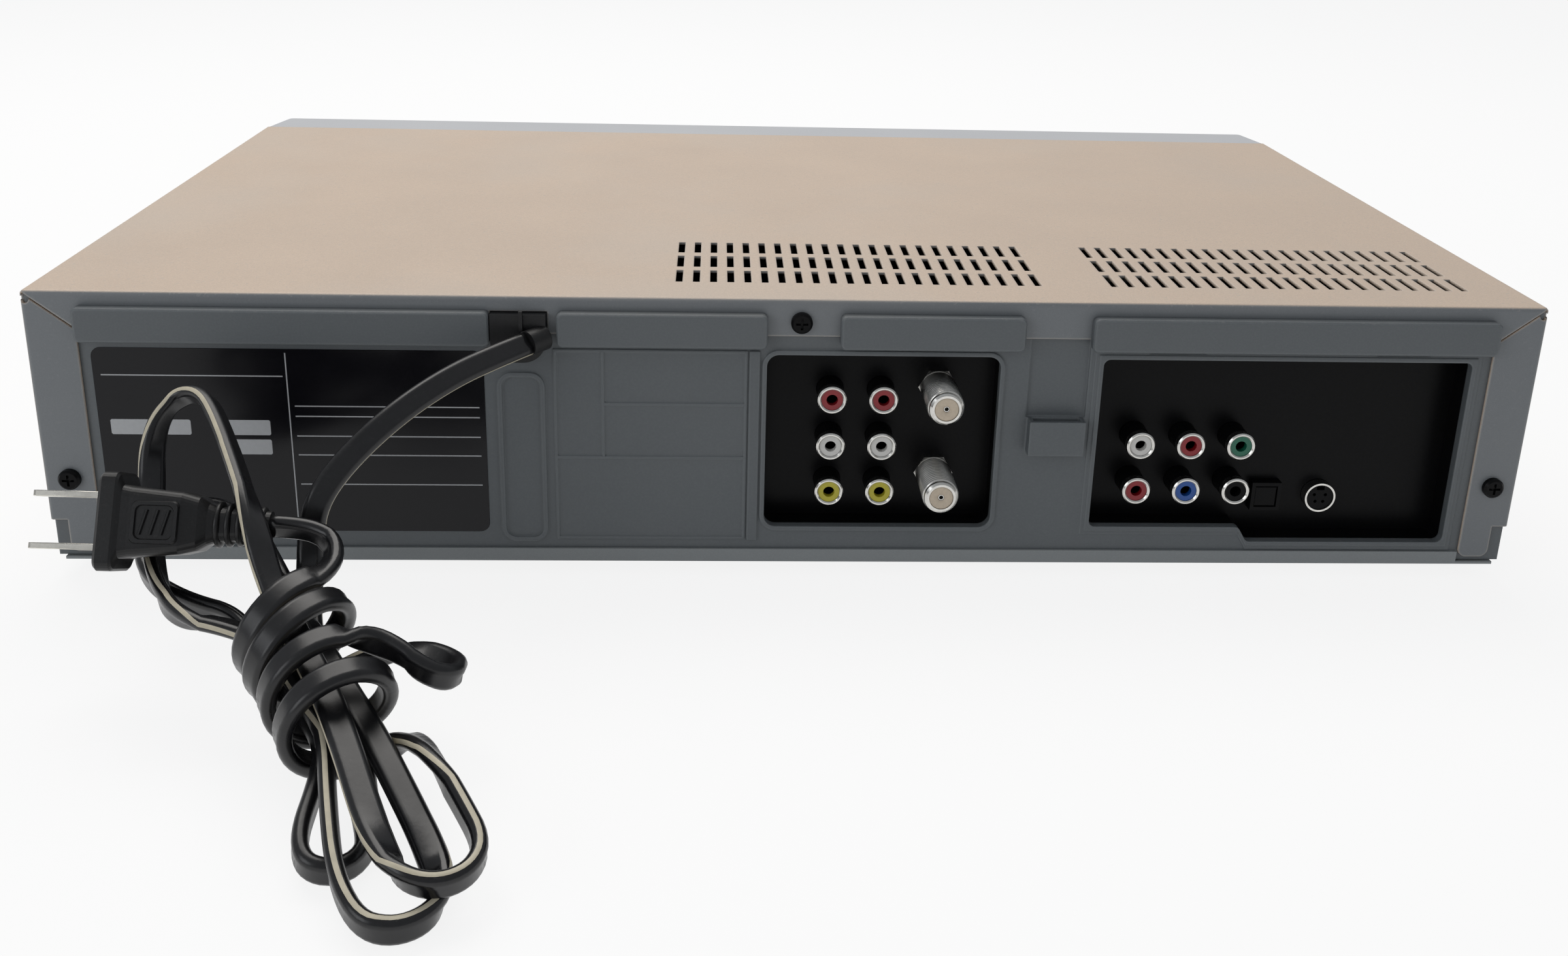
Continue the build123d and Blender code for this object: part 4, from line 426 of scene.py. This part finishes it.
def rgba(colour, factor=1.0):
    return (colour[0] * factor, colour[1] * factor, colour[2] * factor, 1.0)


def finish(name, colour, roughness, speckle=1.15, scale=2500.0, amount=0.3, bump=0.04, dust=0.15,
           uneven=0.08, metallic=0.0, coat=0.0, marks=0.0, specular=0.5, edge=None):
    """A painted, moulded or metal finish made from the shared groups. speckle is the second tone's share.

    edge is the colour of a painted highlight along sharp edges, where there is one.
    """
    made = bpy.data.materials.get(name)
    if made:
        return made
    made = bpy.data.materials.new(name)
    made.use_nodes = True
    tree = made.node_tree
    shader = tree.nodes["Principled BSDF"]
    shader.inputs["Metallic"].default_value = metallic
    shader.inputs["Coat Weight"].default_value = coat
    shader.inputs["Specular IOR Level"].default_value = specular
    grain = placed_group(
        tree, "Fine grain", build_grain_group, Colour=rgba(colour), Speckle=rgba(colour, speckle),
        Scale=scale, Amount=amount, Roughness=roughness, Unevenness=uneven,
    )
    settled = placed_group(tree, "Settled dust", build_dust_group, Amount=dust)
    tree.links.new(grain.outputs["Colour"], settled.inputs["Colour"])
    tree.links.new(grain.outputs["Roughness"], settled.inputs["Roughness"])
    relief = tree.nodes.new("ShaderNodeBump")
    # Sharp edges get a painted highlight in the edge colour, and a rounded normal.
    if edge:
        edge_highlight_node = placed_group(tree, "Rounded edges with painted highlight", build_edge_highlight_group, Edge=rgba(edge))
        tree.links.new(settled.outputs["Colour"], edge_highlight_node.inputs["Colour"])
        tree.links.new(edge_highlight_node.outputs["Colour"], shader.inputs["Base Color"])
        tree.links.new(edge_highlight_node.outputs["Normal"], relief.inputs["Normal"])
    else:
        tree.links.new(settled.outputs["Colour"], shader.inputs["Base Color"])
    relief.inputs["Strength"].default_value = bump
    relief.inputs["Distance"].default_value = 0.0002
    tree.links.new(relief.outputs[0], shader.inputs["Normal"])
    if marks:
        strokes = placed_group(tree, "Tool marks", build_turning_group, Depth=marks)
        tree.links.new(settled.outputs["Roughness"], strokes.inputs["Roughness"])
        tree.links.new(strokes.outputs["Roughness"], shader.inputs["Roughness"])
        tree.links.new(strokes.outputs["Height"], relief.inputs["Height"])
    else:
        tree.links.new(settled.outputs["Roughness"], shader.inputs["Roughness"])
        tree.links.new(grain.outputs["Height"], relief.inputs["Height"])
    made.diffuse_color = rgba(colour)
    return made


def cover_paint_and_rear_shade(paint, flange_painted_shade):
    """The cover's paint, warm on top; faces that look to the rear are painted darker and cooler, as painted shade."""
    made = finish(
        "cover paint with rear shade", paint, 0.42, speckle=1.22, scale=2600.0, amount=0.55, bump=0.05, dust=0.34,
        # light painted highlight along the cover's sharp edges
        edge=(0.75, 0.68, 0.6),
    )
    tree = made.node_tree
    grain = next(n for n in tree.nodes if n.type == "GROUP" and n.node_tree.name == "Fine grain")
    normal = tree.nodes.new("ShaderNodeNewGeometry").outputs["Normal"]
    split = tree.nodes.new("ShaderNodeSeparateXYZ")
    tree.links.new(normal, split.inputs[0])
    # Share of painted shade: faces that look to the rear take the darker, cooler flange colour.
    rear_shade_share = math_node(tree, "SUBTRACT", split.outputs["Y"], 0.35)
    rear_shade_share = math_node(tree, "MULTIPLY", rear_shade_share, 2.2, clamp=True)
    tree.links.new(mix_colour(tree, rear_shade_share, rgba(paint), rgba(flange_painted_shade)), grain.inputs["Colour"])
    tree.links.new(mix_colour(tree, rear_shade_share, rgba(paint, 1.22), rgba(flange_painted_shade, 1.1)), grain.inputs["Speckle"])
    return made


# ---------------------------------------------------------------- mesh helpers
def mesh_piece(name, work, *materials, smooth=False, body=HOUSING):
    """Turns a bmesh into a piece that rides on a body."""
    mesh = bpy.data.meshes.new(name)
    work.normal_update()
    work.to_mesh(mesh)
    work.free()
    for material in materials:
        mesh.materials.append(material)
    if smooth:
        mesh.polygons.foreach_set("use_smooth", [True] * len(mesh.polygons))
    made = bpy.data.objects.new(name, mesh)
    bpy.context.collection.objects.link(made)
    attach(made, body)
    return made


def rounded_outline(width, height, radius, steps=6):
    """Corner-rounded rectangle round the origin, as points in a plane."""
    points = []
    for corner, (sx, sy) in enumerate(((1, 1), (-1, 1), (-1, -1), (1, -1))):
        for step in range(steps + 1):
            turn = math.radians(90 * corner + 90 * step / steps)
            points.append((
                sx * (width / 2 - radius) + radius * math.cos(turn),
                sy * (height / 2 - radius) + radius * math.sin(turn),
            ))
    return points


def raise_plate(work, outline, place, thickness, edge, index=0):
    """A plate with a bevelled rim on a face that looks along +Y. place is its middle; outline is in X and Z."""
    rings = []
    for out, depth in ((0.0, 0.0), (0.0, thickness - edge), (-edge, thickness)):
        ring = []
        for x, z in outline:
            length = math.hypot(x, z)
            shrink = (length + out) / length
            ring.append(work.verts.new((place[0] + x * shrink, place[1] + depth, place[2] + z * shrink)))
        rings.append(ring)
    count = len(outline)
    for lower, upper in zip(rings, rings[1:]):
        for i in range(count):
            j = (i + 1) % count
            face = work.faces.new((lower[i], upper[i], upper[j], lower[j]))
            face.material_index = index
    top = work.faces.new(rings[-1][::-1])
    top.material_index = index
    base = work.faces.new(rings[0])
    base.material_index = index


# ---------------------------------------------------------------- mains lead
def spline_points(points, name):
    """The route as one open spline; returns points read from it, close together."""
    curve = bpy.data.curves.new(name, "CURVE")
    curve.dimensions = "3D"
    spline = curve.splines.new("NURBS")
    spline.points.add(len(points) - 1)
    for slot, point in zip(spline.points, points):
        slot.co = (*point, 1.0)
    spline.order_u = 3
    spline.use_endpoint_u = True
    curve.resolution_u = 10
    holder = bpy.data.objects.new(name, curve)
    bpy.context.collection.objects.link(holder)
    bpy.context.view_layer.update()
    mesh = bpy.data.meshes.new_from_object(holder)
    read = [v.co.copy() for v in mesh.vertices]
    bpy.data.objects.remove(holder)
    bpy.data.meshes.remove(mesh)
    return read


def flat_section(width, thickness, sides=9):
    """Outline of a flat two-core lead: two rounded cores with a shallow valley between them."""
    core = thickness / 2
    offset = width / 2 - core
    outline = []
    for side in (1, -1):
        for step in range(sides):
            turn = math.radians(-90 + 180 * step / (sides - 1))
            outline.append((side * (offset + core * math.cos(turn)), side * core * math.sin(turn)))
        outline.append((0.0, side * core * 0.86))
    return outline


def lead_frames(path, settle=0.09):
    """For each point, the lead's thin direction: it turns with the bends, and first looks to the rear.

    Inside the hank's waist the strands lie flat on each other.
    """
    thin = []
    travelled = 0.0
    current = Vector((-0.2, -0.9, -0.35))
    for i, point in enumerate(path):
        before = path[max(i - 1, 0)]
        after = path[min(i + 1, len(path) - 1)]
        tangent = (after - before).normalized()
        if 0 < i < len(path) - 1:
            first = (point - before).normalized()
            second = (after - point).normalized()
            step = (after - before).length / 2
            bend = (second - first) / max(step, 1e-6)
            travelled += step
            in_waist = abs((point - HANK_MIDDLE).dot(HANK_ALONG)) < 0.021
            if travelled > settle and in_waist and abs(tangent.dot(HANK_ALONG)) > 0.85:
                target = HANK_ABOVE if HANK_ABOVE.dot(current) > 0 else -HANK_ABOVE
                current = current + target * 90 * step
            elif travelled > settle and bend.length > 5.0:
                target = bend.normalized()
                if target.dot(current) < 0:
                    target = -target
                current = current + target * min(4.0 * bend.length * step, 1.5)
        current = (current - tangent * current.dot(tangent)).normalized()
        thin.append((tangent, current.copy()))
    return thin


def sweep_section(work, path, frames, outline, striped):
    """Sweeps a section along a path. Faces whose edge index is in striped get the second material."""
    rings = []
    for point, (tangent, thin) in zip(path, frames):
        wide = tangent.cross(thin).normalized()
        rings.append([work.verts.new(point + wide * x + thin * y) for x, y in outline])
    count = len(outline)
    for lower, upper in zip(rings, rings[1:]):
        for i in range(count):
            j = (i + 1) % count
            face = work.faces.new((lower[i], lower[j], upper[j], upper[i]))
            face.material_index = 1 if i in striped else 0
            face.smooth = True
    work.faces.new(rings[0][::-1])
    work.faces.new(rings[-1])


def thinned(path, spacing):
    """Points of a path at least this far apart, with both its ends."""
    kept = [path[0]]
    for point in path[1:-1]:
        if (point - kept[-1]).length >= spacing:
            kept.append(point)
    return kept + [path[-1]]


class PLAYER_OT_lead(bpy.types.Operator):
    """Makes the flat mains lead along its route, from the gland through the hank to the plug"""

    bl_idname = "player.lead"
    bl_label = "Mains lead"

    def execute(self, context):
        settings = context.scene.player_lead
        path = thinned(spline_points(lead_route(), "lead_route"), 0.0011)
        sheath = finish(
            "lead sheath", tuple(settings.sheath), 0.27, speckle=1.9, scale=700.0, amount=0.35, bump=0.1,
            dust=0.02, uneven=0.16, specular=0.45,
        )
        stripe = finish(
            "lead stripe", tuple(settings.stripe), 0.5, speckle=0.75, scale=300.0, amount=0.4, bump=0.1, dust=0.1
        )
        outline = flat_section(settings.width, settings.thickness, sides=11)
        work = bmesh.new()
        sweep_section(work, path, lead_frames(path), outline, striped=(4, 5))
        lead = mesh_piece("mains_lead", work, sheath, stripe)
        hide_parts("power_cord", "power_cord_hank")
        return {"FINISHED"}


# Plug sections: distance along, half width, half thickness, corner radius.
PLUG_SECTIONS = (
    (0.0, 0.0036, 0.003, 0.0028), (0.0125, 0.0044, 0.0042, 0.003), (0.0145, 0.0052, 0.0048, 0.003),
    (0.0165, 0.0066, 0.006, 0.003), (0.0205, 0.0076, 0.0068, 0.0028), (0.0325, 0.0086, 0.007, 0.0026),
    (0.0345, 0.009, 0.0071, 0.0026), (0.0354, 0.0114, 0.0076, 0.0026), (0.036, 0.012, 0.0078, 0.0026),
    (0.0392, 0.012, 0.0078, 0.0026), (0.04, 0.0113, 0.0071, 0.0022),
)


def plug_moulding_finish():
    return finish(
        "plug moulding", (0.006, 0.006, 0.0065), 0.4, speckle=1.8, scale=1500.0, amount=0.4, bump=0.12,
        dust=0.02, specular=0.35,
    )


def join_rings(work, rings):
    """Skins closed rings of vertices in order and caps both ends."""
    count = len(rings[0])
    for lower, upper in zip(rings, rings[1:]):
        for i in range(count):
            j = (i + 1) % count
            work.faces.new((lower[i], lower[j], upper[j], upper[i]))
    work.faces.new(rings[0][::-1])
    work.faces.new(rings[-1])


class PLAYER_OT_plug(bpy.types.Operator):
    """Makes the two-blade plug with its flexing ribs and grips"""

    bl_idname = "player.plug"
    bl_label = "Plug"

    def execute(self, context):
        start, axis, side, up = plug_frame()
        black = plug_moulding_finish()

        def at(along, across, above):
            return start + axis * along + side * across + up * above

        work = bmesh.new()
        rings = []
        for along, half_width, half_height, corner in PLUG_SECTIONS:
            outline = rounded_outline(2 * half_width, 2 * half_height, corner)
            rings.append([work.verts.new(at(along, x, z)) for x, z in outline])
        join_rings(work, rings)
        body = mesh_piece("plug_moulding", work, black)
        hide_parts("plug_body")

        work = bmesh.new()
        for rib in range(5):
            middle = 0.002 + 0.0026 * rib
            radius = 0.0041 + 0.00022 * rib
            rings = []
            for along, grown in ((-0.0008, -0.0006), (-0.0004, 0.0), (0.0004, 0.0), (0.0008, -0.0006)):
                reach = radius + grown
                turns = [math.tau * step / 20 for step in range(20)]
                rings.append([
                    work.verts.new(at(middle + along, reach * 1.15 * math.cos(turn), reach * math.sin(turn)))
                    for turn in turns
                ])
            join_rings(work, rings)
        ribs = mesh_piece("plug_neck_ribs", work, black, smooth=True)

        work = bmesh.new()
        for face in (1, -1):
            rings = []
            for shrink, height in ((1.0, 0.0), (0.95, 0.0007), (0.8, 0.0007), (0.76, 0.0002)):
                outline = rounded_outline(0.0115 * shrink, 0.0105 * shrink, 0.0016)
                rings.append([
                    work.verts.new(at(0.0262 + x, z, face * (0.0069 + height))) for x, z in outline[::face]
                ])
            join_rings(work, rings)
            for bar in range(3):
                rings = []
                for across in (-0.003, 0.003):
                    middle = 0.0236 + 0.0026 * bar + 0.25 * across
                    profile = ((-0.0005, 0.0), (-0.0002, 0.0005), (0.0002, 0.0005), (0.0005, 0.0))
                    rings.append([
                        work.verts.new(at(middle + x, across, face * (0.0071 + z))) for x, z in profile[::face]
                    ])
                join_rings(work, rings)
        grip = mesh_piece("plug_grip", work, black)

        work = bmesh.new()
        metal = finish(
            "blade metal", (0.66, 0.64, 0.58), 0.24, speckle=0.8, scale=500.0, amount=0.4, bump=0.03,
            metallic=1.0, marks=0.12,
        )
        hole_at, tip, heel, half, hole = 0.0525, 0.057, 0.0385, 0.003175, 0.00155
        turns = [math.tau * (step + 0.5) / 40 for step in range(40)]
        for middle in (0.00635, -0.00635):
            rings = []
            for across, reach in ((-0.00075, 1.0), (0.00075, 1.0)):
                ring = []
                for turn in turns:
                    run = tip - hole_at if math.cos(turn) > 0 else hole_at - heel
                    far = min(
                        run / max(abs(math.cos(turn)), 1e-6), half / max(abs(math.sin(turn)), 1e-6)
                    )
                    ring.append(work.verts.new(
                        at(hole_at + far * math.cos(turn), middle + across, far * math.sin(turn))
                    ))
                rings.append(ring)
            bores = []
            for across in (-0.00075, 0.00075):
                bores.append([
                    work.verts.new(at(hole_at + hole * math.cos(turn), middle + across, hole * math.sin(turn)))
                    for turn in turns
                ])
            loops = (rings[0], rings[1], bores[1], bores[0], rings[0])
            for lower, upper in zip(loops, loops[1:]):
                for i in range(40):
                    j = (i + 1) % 40
                    work.faces.new((lower[i], lower[j], upper[j], upper[i]))
        pins = mesh_piece("plug_pins", work, metal)
        bevel = pins.modifiers.new("soft edges", "BEVEL")
        bevel.width = 0.0002
        bevel.segments = 2
        bevel.limit_method = "ANGLE"
        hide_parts("plug_blades")
        return {"FINISHED"}


# ---------------------------------------------------------------- label
class PLAYER_OT_label(bpy.types.Operator):
    """Fixes the bare black rating label with its thin rules"""

    bl_idname = "player.label"
    bl_label = "Bare label"

    def execute(self, context):
        settings = context.scene.player_label
        width = settings.left - settings.right
        middle_x = (settings.left + settings.right) / 2
        high_z = TOP_Z - settings.drop
        middle_z = high_z - settings.height / 2
        film = finish(
            "label film", tuple(settings.film), 0.22, speckle=1.6, scale=900.0, amount=0.3, bump=0.02,
            dust=0.01, uneven=0.12, specular=0.25,
        )
        rule = finish("label rules", settings.rule, 0.4, speckle=0.8, scale=1800.0, amount=0.3, bump=0.03, dust=0.1)
        light = finish("label fields", tuple(settings.rule)[:3], 0.5, speckle=1.12, scale=900.0, amount=0.3, bump=0.03)
        work = bmesh.new()
        plate_y = PANEL_Y + 0.00002
        thick = 0.00016
        raise_plate(work, rounded_outline(width, settings.height, 0.0028), (middle_x, plate_y, middle_z), thick, 0.00006)
        line = 0.00035
        rule_y = plate_y + thick - 0.00001

        def strip(left, right, drop, index=1, height=line):
            """A rule from left to right, as shares of the width, at a drop below the upper edge."""
            near = settings.left - width * left
            far = settings.left - width * right
            raise_plate(
                work,
                rounded_outline(near - far, height, min(near - far, height) * 0.08, steps=1),
                ((near + far) / 2, rule_y, high_z - settings.height * drop),
                0.00004,
                0.00001,
                index,
            )

        column = 0.492
        strip(column - line / width / 2, column + line / width / 2, 0.5, height=settings.height * 0.96)
        strip(0.02, column - 0.01, 0.145)
        for drop in (0.305, 0.36, 0.468, 0.572, 0.735):
            strip(column + 0.015, 0.985, drop)
        strip(0.03, 0.235, 0.424, index=2, height=0.0046)
        strip(0.325, 0.44, 0.424, index=2, height=0.0046)
        strip(0.325, 0.44, 0.53, index=2, height=0.0046)
        label = mesh_piece("rating_label_bare", work, film, rule, light)
        return {"FINISHED"}


# ---------------------------------------------------------------- aerial sockets
class PLAYER_OT_aerials(bpy.types.Operator):
    """Cuts the aerial barrels' threads and seats their pale inserts"""

    bl_idname = "player.aerials"
    bl_label = "Aerial sockets"

    def execute(self, context):
        low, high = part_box("aerial_barrels")
        middle_x = (low.x + high.x) / 2
        collar = 0.0058 * math.cos(math.radians(30))
        centres = (high.z - collar, low.z + collar)
        metal = finish("thread metal", (0.62, 0.61, 0.58), 0.26, speckle=0.7, scale=600.0, amount=0.4, bump=0.05, dust=0.1, metallic=1.0)
        beige = finish("insert plastic", (0.62, 0.52, 0.4), 0.45, speckle=0.85, scale=1500.0, amount=0.4, bump=0.05)
        hole_mouth_shade = finish("painted hole shade", (0.1, 0.1, 0.1), 0.4, metallic=1.0, dust=0.0)
        start_y = REAR_Y - 0.0078
        end_y = REAR_Y + 0.0092
        pitch = 0.0011
        around = 28
        root, crest = 0.00466, 0.0053
        work = bmesh.new()
        for centre_z in centres:
            steps = int((end_y - start_y) / pitch * around)
            rings = []
            for step in range(steps + 1):
                turn = math.tau * step / around
                y = start_y + (end_y - start_y) * step / steps
                fade = min(1.0, step / around, (steps - step) / around)
                tip = root + (crest - root) * fade
                ring = []
                for along, reach in ((-0.46, root), (-0.12, tip), (0.12, tip), (0.46, root)):
                    ring.append(work.verts.new((
                        middle_x + reach * math.cos(turn), y + along * pitch, centre_z + reach * math.sin(turn)
                    )))
                rings.append(ring)
            for lower, upper in zip(rings, rings[1:]):
                for i in range(3):
                    work.faces.new((lower[i], upper[i], upper[i + 1], lower[i + 1]))
        threads = mesh_piece("aerial_threads", work, metal, smooth=True)
        work = bmesh.new()
        profile = ((0.00345, -0.0006), (0.00345, -0.0001), (0.0031, 0.0), (0.0013, 0.0), (0.0009, -0.0004), (0.0007, -0.0006))
        for centre_z in centres:
            rings = []
            for step in range(around):
                turn = math.tau * step / around
                rings.append([
                    work.verts.new((
                        middle_x + radius * math.cos(turn), REAR_Y + 0.0099 + y, centre_z + radius * math.sin(turn)
                    ))
                    for radius, y in profile
                ])
            for i in range(around):
                lower, upper = rings[i], rings[(i + 1) % around]
                for k in range(len(profile) - 1):
                    face = work.faces.new((lower[k], upper[k], upper[k + 1], lower[k + 1]))
                    # The innermost ring of the profile, the mouth of the centre hole, is painted near black as painted
                    # shade.
                    face.material_index = 1 if k == len(profile) - 2 else 0
        inserts = mesh_piece("aerial_inserts", work, beige, hole_mouth_shade, smooth=True)
        return {"FINISHED"}


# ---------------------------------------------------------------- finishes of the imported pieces
def slot_finishes(settings):
    """A finish for each of the record's slots."""
    return {
        "cover_paint": cover_paint_and_rear_shade(tuple(settings.cover), tuple(settings.flange)),
        "sheet_grey": finish("strip paint", (0.23, 0.245, 0.25), 0.45, speckle=1.15, scale=2400.0, amount=0.4, bump=0.05, dust=0.2),
        "moulding_grey": finish(
            "grey moulding", tuple(settings.moulding), 0.5, speckle=1.14, scale=1700.0, amount=0.5, bump=0.1,
            # edge gives a light painted highlight along the panel's sharp edges
            dust=0.14, edge=(0.25, 0.27, 0.28),
        ),
        "front_silver": finish("front paint", (0.5, 0.51, 0.53), 0.34, speckle=1.2, scale=3000.0, amount=0.5, bump=0.04, dust=0.1, coat=0.2),
        "window_smoke": finish("smoked window", (0.012, 0.012, 0.016), 0.08, speckle=1.4, scale=500.0, amount=0.1, bump=0.005, dust=0.05, uneven=0.02, coat=0.6),
        "black_moulding": finish(
            "black moulding", (0.0025, 0.0025, 0.0028), 0.34, speckle=1.9, scale=1600.0, amount=0.5, bump=0.05,
            dust=0.003, specular=0.1,
        ),
        "nickel": finish("nickel plate", (0.66, 0.65, 0.62), 0.2, speckle=0.75, scale=700.0, amount=0.35, bump=0.02, dust=0.06, metallic=1.0, marks=0.1),
        "red_plastic": finish("red plastic", (0.26, 0.008, 0.014), 0.32, speckle=0.8, scale=1500.0, amount=0.3, dust=0.03),
        "white_plastic": finish("white plastic", (0.66, 0.65, 0.62), 0.34, speckle=0.9, scale=1500.0, amount=0.3, dust=0.1),
        "yellow_plastic": finish("yellow plastic", (0.5, 0.44, 0.03), 0.34, speckle=0.85, scale=1500.0, amount=0.3, dust=0.04),
        "green_plastic": finish("green plastic", (0.008, 0.13, 0.075), 0.32, speckle=0.8, scale=1500.0, amount=0.3, dust=0.03),
        "blue_plastic": finish("blue plastic", (0.01, 0.08, 0.33), 0.32, speckle=0.8, scale=1500.0, amount=0.3, dust=0.03),
        "tinned_steel": finish("tinned steel", (0.56, 0.57, 0.58), 0.36, speckle=0.85, scale=500.0, amount=0.4, bump=0.04, metallic=1.0, marks=0.2),
        "board": finish("board laminate", (0.2, 0.13, 0.05), 0.5, speckle=0.8, scale=800.0, amount=0.4, bump=0.05),
        "core": finish("core laminations", (0.12, 0.12, 0.13), 0.5, speckle=1.4, scale=1200.0, amount=0.5, bump=0.2, metallic=0.6, marks=0.3),
        "sleeve": finish("printed sleeve", (0.03, 0.045, 0.16), 0.3, speckle=1.3, scale=900.0, amount=0.2),
        "sink": finish("sink aluminium", (0.6, 0.6, 0.62), 0.38, speckle=0.85, scale=700.0, amount=0.3, metallic=1.0, marks=0.2),
        "drive_black": finish("drive moulding", (0.03, 0.03, 0.033), 0.5, speckle=1.5, scale=1400.0, amount=0.5, bump=0.08, dust=0.08),
        "gear_white": finish("gear plastic", (0.7, 0.68, 0.62), 0.4, speckle=0.92, scale=1400.0, amount=0.3, bump=0.05),
        "drum_metal": finish("drum metal", (0.72, 0.72, 0.74), 0.16, speckle=0.9, scale=900.0, amount=0.2, bump=0.02, metallic=1.0, marks=0.12),
        "rubber": finish("rubber", (0.02, 0.02, 0.02), 0.72, speckle=1.5, scale=1100.0, amount=0.5, bump=0.15, dust=0.2),
        "cord_black": plug_moulding_finish(),
        "blade_metal": finish("blade metal", (0.66, 0.64, 0.58), 0.24, speckle=0.8, scale=500.0, amount=0.4, bump=0.03, metallic=1.0, marks=0.12),
    }


class PLAYER_OT_finishes(bpy.types.Operator):
    """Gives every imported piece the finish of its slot"""

    bl_idname = "player.finishes"
    bl_label = "Finishes"

    def execute(self, context):
        finishes = slot_finishes(context.scene.player_finish)
        for entry in RECORD["subparts"]:
            slots = NODES[entry["node"]].data.materials
            slots.clear()
            slots.append(finishes[entry["material_slot"]])
        return {"FINISHED"}


# ---------------------------------------------------------------- stage
def soft_lamp(name, place, aim, size, power, colour):
    lamp = bpy.data.lights.new(name, "AREA")
    lamp.shape = "RECTANGLE"
    lamp.size, lamp.size_y = size
    lamp.energy = power
    lamp.color = colour
    holder = bpy.data.objects.new(name, lamp)
    holder.location = place
    holder.rotation_mode = "QUATERNION"
    holder.rotation_quaternion = (Vector(aim) - Vector(place)).to_track_quat("-Z", "Y")
    bpy.context.collection.objects.link(holder)
    return holder


def seen_directly(tree):
    """1 for rays from the camera and for reflected or transmitted ones, else 0."""
    rays = tree.nodes.new("ShaderNodeLightPath")
    return math_node(tree, "ADD", rays.outputs["Is Camera Ray"],
                     math_node(tree, "ADD", rays.outputs["Is Glossy Ray"], rays.outputs["Is Transmission Ray"]), clamp=True)


class PLAYER_OT_stage(bpy.types.Operator):
    """Sets the floor, the even light, two soft lamps and the camera behind the player"""

    bl_idname = "player.stage"
    bl_label = "Stage"

    def execute(self, context):
        scene = context.scene
        settings = scene.player_stage
        camera_data = bpy.data.cameras.new("camera")
        camera_data.sensor_width = 36.0
        camera_data.sensor_fit = "HORIZONTAL"
        camera_data.lens = settings.lens
        camera_data.shift_y = settings.camera_shift
        camera_data.clip_start = 0.01
        camera_data.clip_end = 20.0
        camera = bpy.data.objects.new("camera", camera_data)
        camera.location = settings.camera_place
        camera.rotation_euler = settings.camera_turn
        context.collection.objects.link(camera)
        scene.camera = camera

        pale = bpy.data.materials.new("pale floor")
        pale.use_nodes = True
        tree = pale.node_tree
        tree.nodes.remove(tree.nodes["Principled BSDF"])
        matt = tree.nodes.new("ShaderNodeBsdfDiffuse")
        matt.inputs["Color"].default_value = (0.86, 0.86, 0.86, 1)
        bright = tree.nodes.new("ShaderNodeEmission")
        bright.inputs["Color"].default_value = (1, 1, 1, 1)
        blend = tree.nodes.new("ShaderNodeMixShader")
        share = math_node(tree, "MULTIPLY", seen_directly(tree), 0.86)
        tree.links.new(share, blend.inputs[0])
        tree.links.new(matt.outputs[0], blend.inputs[1])
        tree.links.new(bright.outputs[0], blend.inputs[2])
        tree.links.new(blend.outputs[0], tree.nodes["Material Output"].inputs["Surface"])
        work = bmesh.new()
        bmesh.ops.create_grid(work, x_segments=8, y_segments=8, size=4.0)
        for vertex in work.verts:
            vertex.co.z = -0.0002
        mesh = bpy.data.meshes.new("floor")
        work.to_mesh(mesh)
        work.free()
        mesh.materials.append(pale)
        floor = bpy.data.objects.new("floor", mesh)
        context.collection.objects.link(floor)

        world = bpy.data.worlds.new("even light")
        scene.world = world
        world.use_nodes = True
        tree = world.node_tree
        light = tree.nodes["Background"]
        light.inputs["Color"].default_value = (0.93, 0.96, 1.0, 1)
        light.inputs["Strength"].default_value = settings.sky
        white = tree.nodes.new("ShaderNodeBackground")
        white.inputs["Color"].default_value = (1, 1, 1, 1)
        rays = tree.nodes.new("ShaderNodeLightPath")
        blend = tree.nodes.new("ShaderNodeMixShader")
        tree.links.new(rays.outputs["Is Camera Ray"], blend.inputs[0])
        tree.links.new(light.outputs[0], blend.inputs[1])
        tree.links.new(white.outputs[0], blend.inputs[2])
        tree.links.new(blend.outputs[0], tree.nodes["World Output"].inputs["Surface"])

        soft_lamp("lamp_above", (0.25, -0.55, 1.25), (0, 0, 0.05), (1.3, 0.9), settings.key, (1.0, 0.97, 0.93))
        soft_lamp("lamp_left", (0.8, 0.75, 0.4), (0.15, 0.13, 0.04), (0.5, 0.5), settings.fill, (0.95, 0.97, 1.0))
        scene.view_settings.view_transform = "Standard"
        return {"FINISHED"}


class PLAYER_PT_dressing(bpy.types.Panel):
    """Steps that dress the player"""

    bl_idname = "PLAYER_PT_dressing"
    bl_label = "Player"
    bl_space_type = "VIEW_3D"
    bl_region_type = "UI"
    bl_category = "Player"

    def draw(self, context):
        for group in ("player_lead", "player_label", "player_finish", "player_stage"):
            settings = getattr(context.scene, group)
            box = self.layout.box()
            for name in settings.__annotations__:
                box.prop(settings, name)
        for step in STEPS:
            self.layout.operator(step.bl_idname)


STEPS = (PLAYER_OT_stage, PLAYER_OT_plug, PLAYER_OT_lead, PLAYER_OT_label, PLAYER_OT_aerials, PLAYER_OT_finishes)
SETTINGS = (
    ("player_lead", PlayerLeadSettings),
    ("player_label", PlayerLabelSettings),
    ("player_finish", PlayerFinishSettings),
    ("player_stage", PlayerStageSettings),
)


def register():
    for name, kind in SETTINGS:
        bpy.utils.register_class(kind)
        setattr(bpy.types.Scene, name, bpy.props.PointerProperty(type=kind))
    for kind in (*STEPS, PLAYER_PT_dressing):
        bpy.utils.register_class(kind)


def unregister():
    for kind in (PLAYER_PT_dressing, *reversed(STEPS)):
        bpy.utils.unregister_class(kind)
    for name, kind in reversed(SETTINGS):
        delattr(bpy.types.Scene, name)
        bpy.utils.unregister_class(kind)


def main():
    register()
    bpy.ops.player.stage()
    bpy.ops.player.plug()
    bpy.ops.player.lead()
    bpy.ops.player.label()
    bpy.ops.player.aerials()
    bpy.ops.player.finishes()


if __name__ == "__main__":
    main()
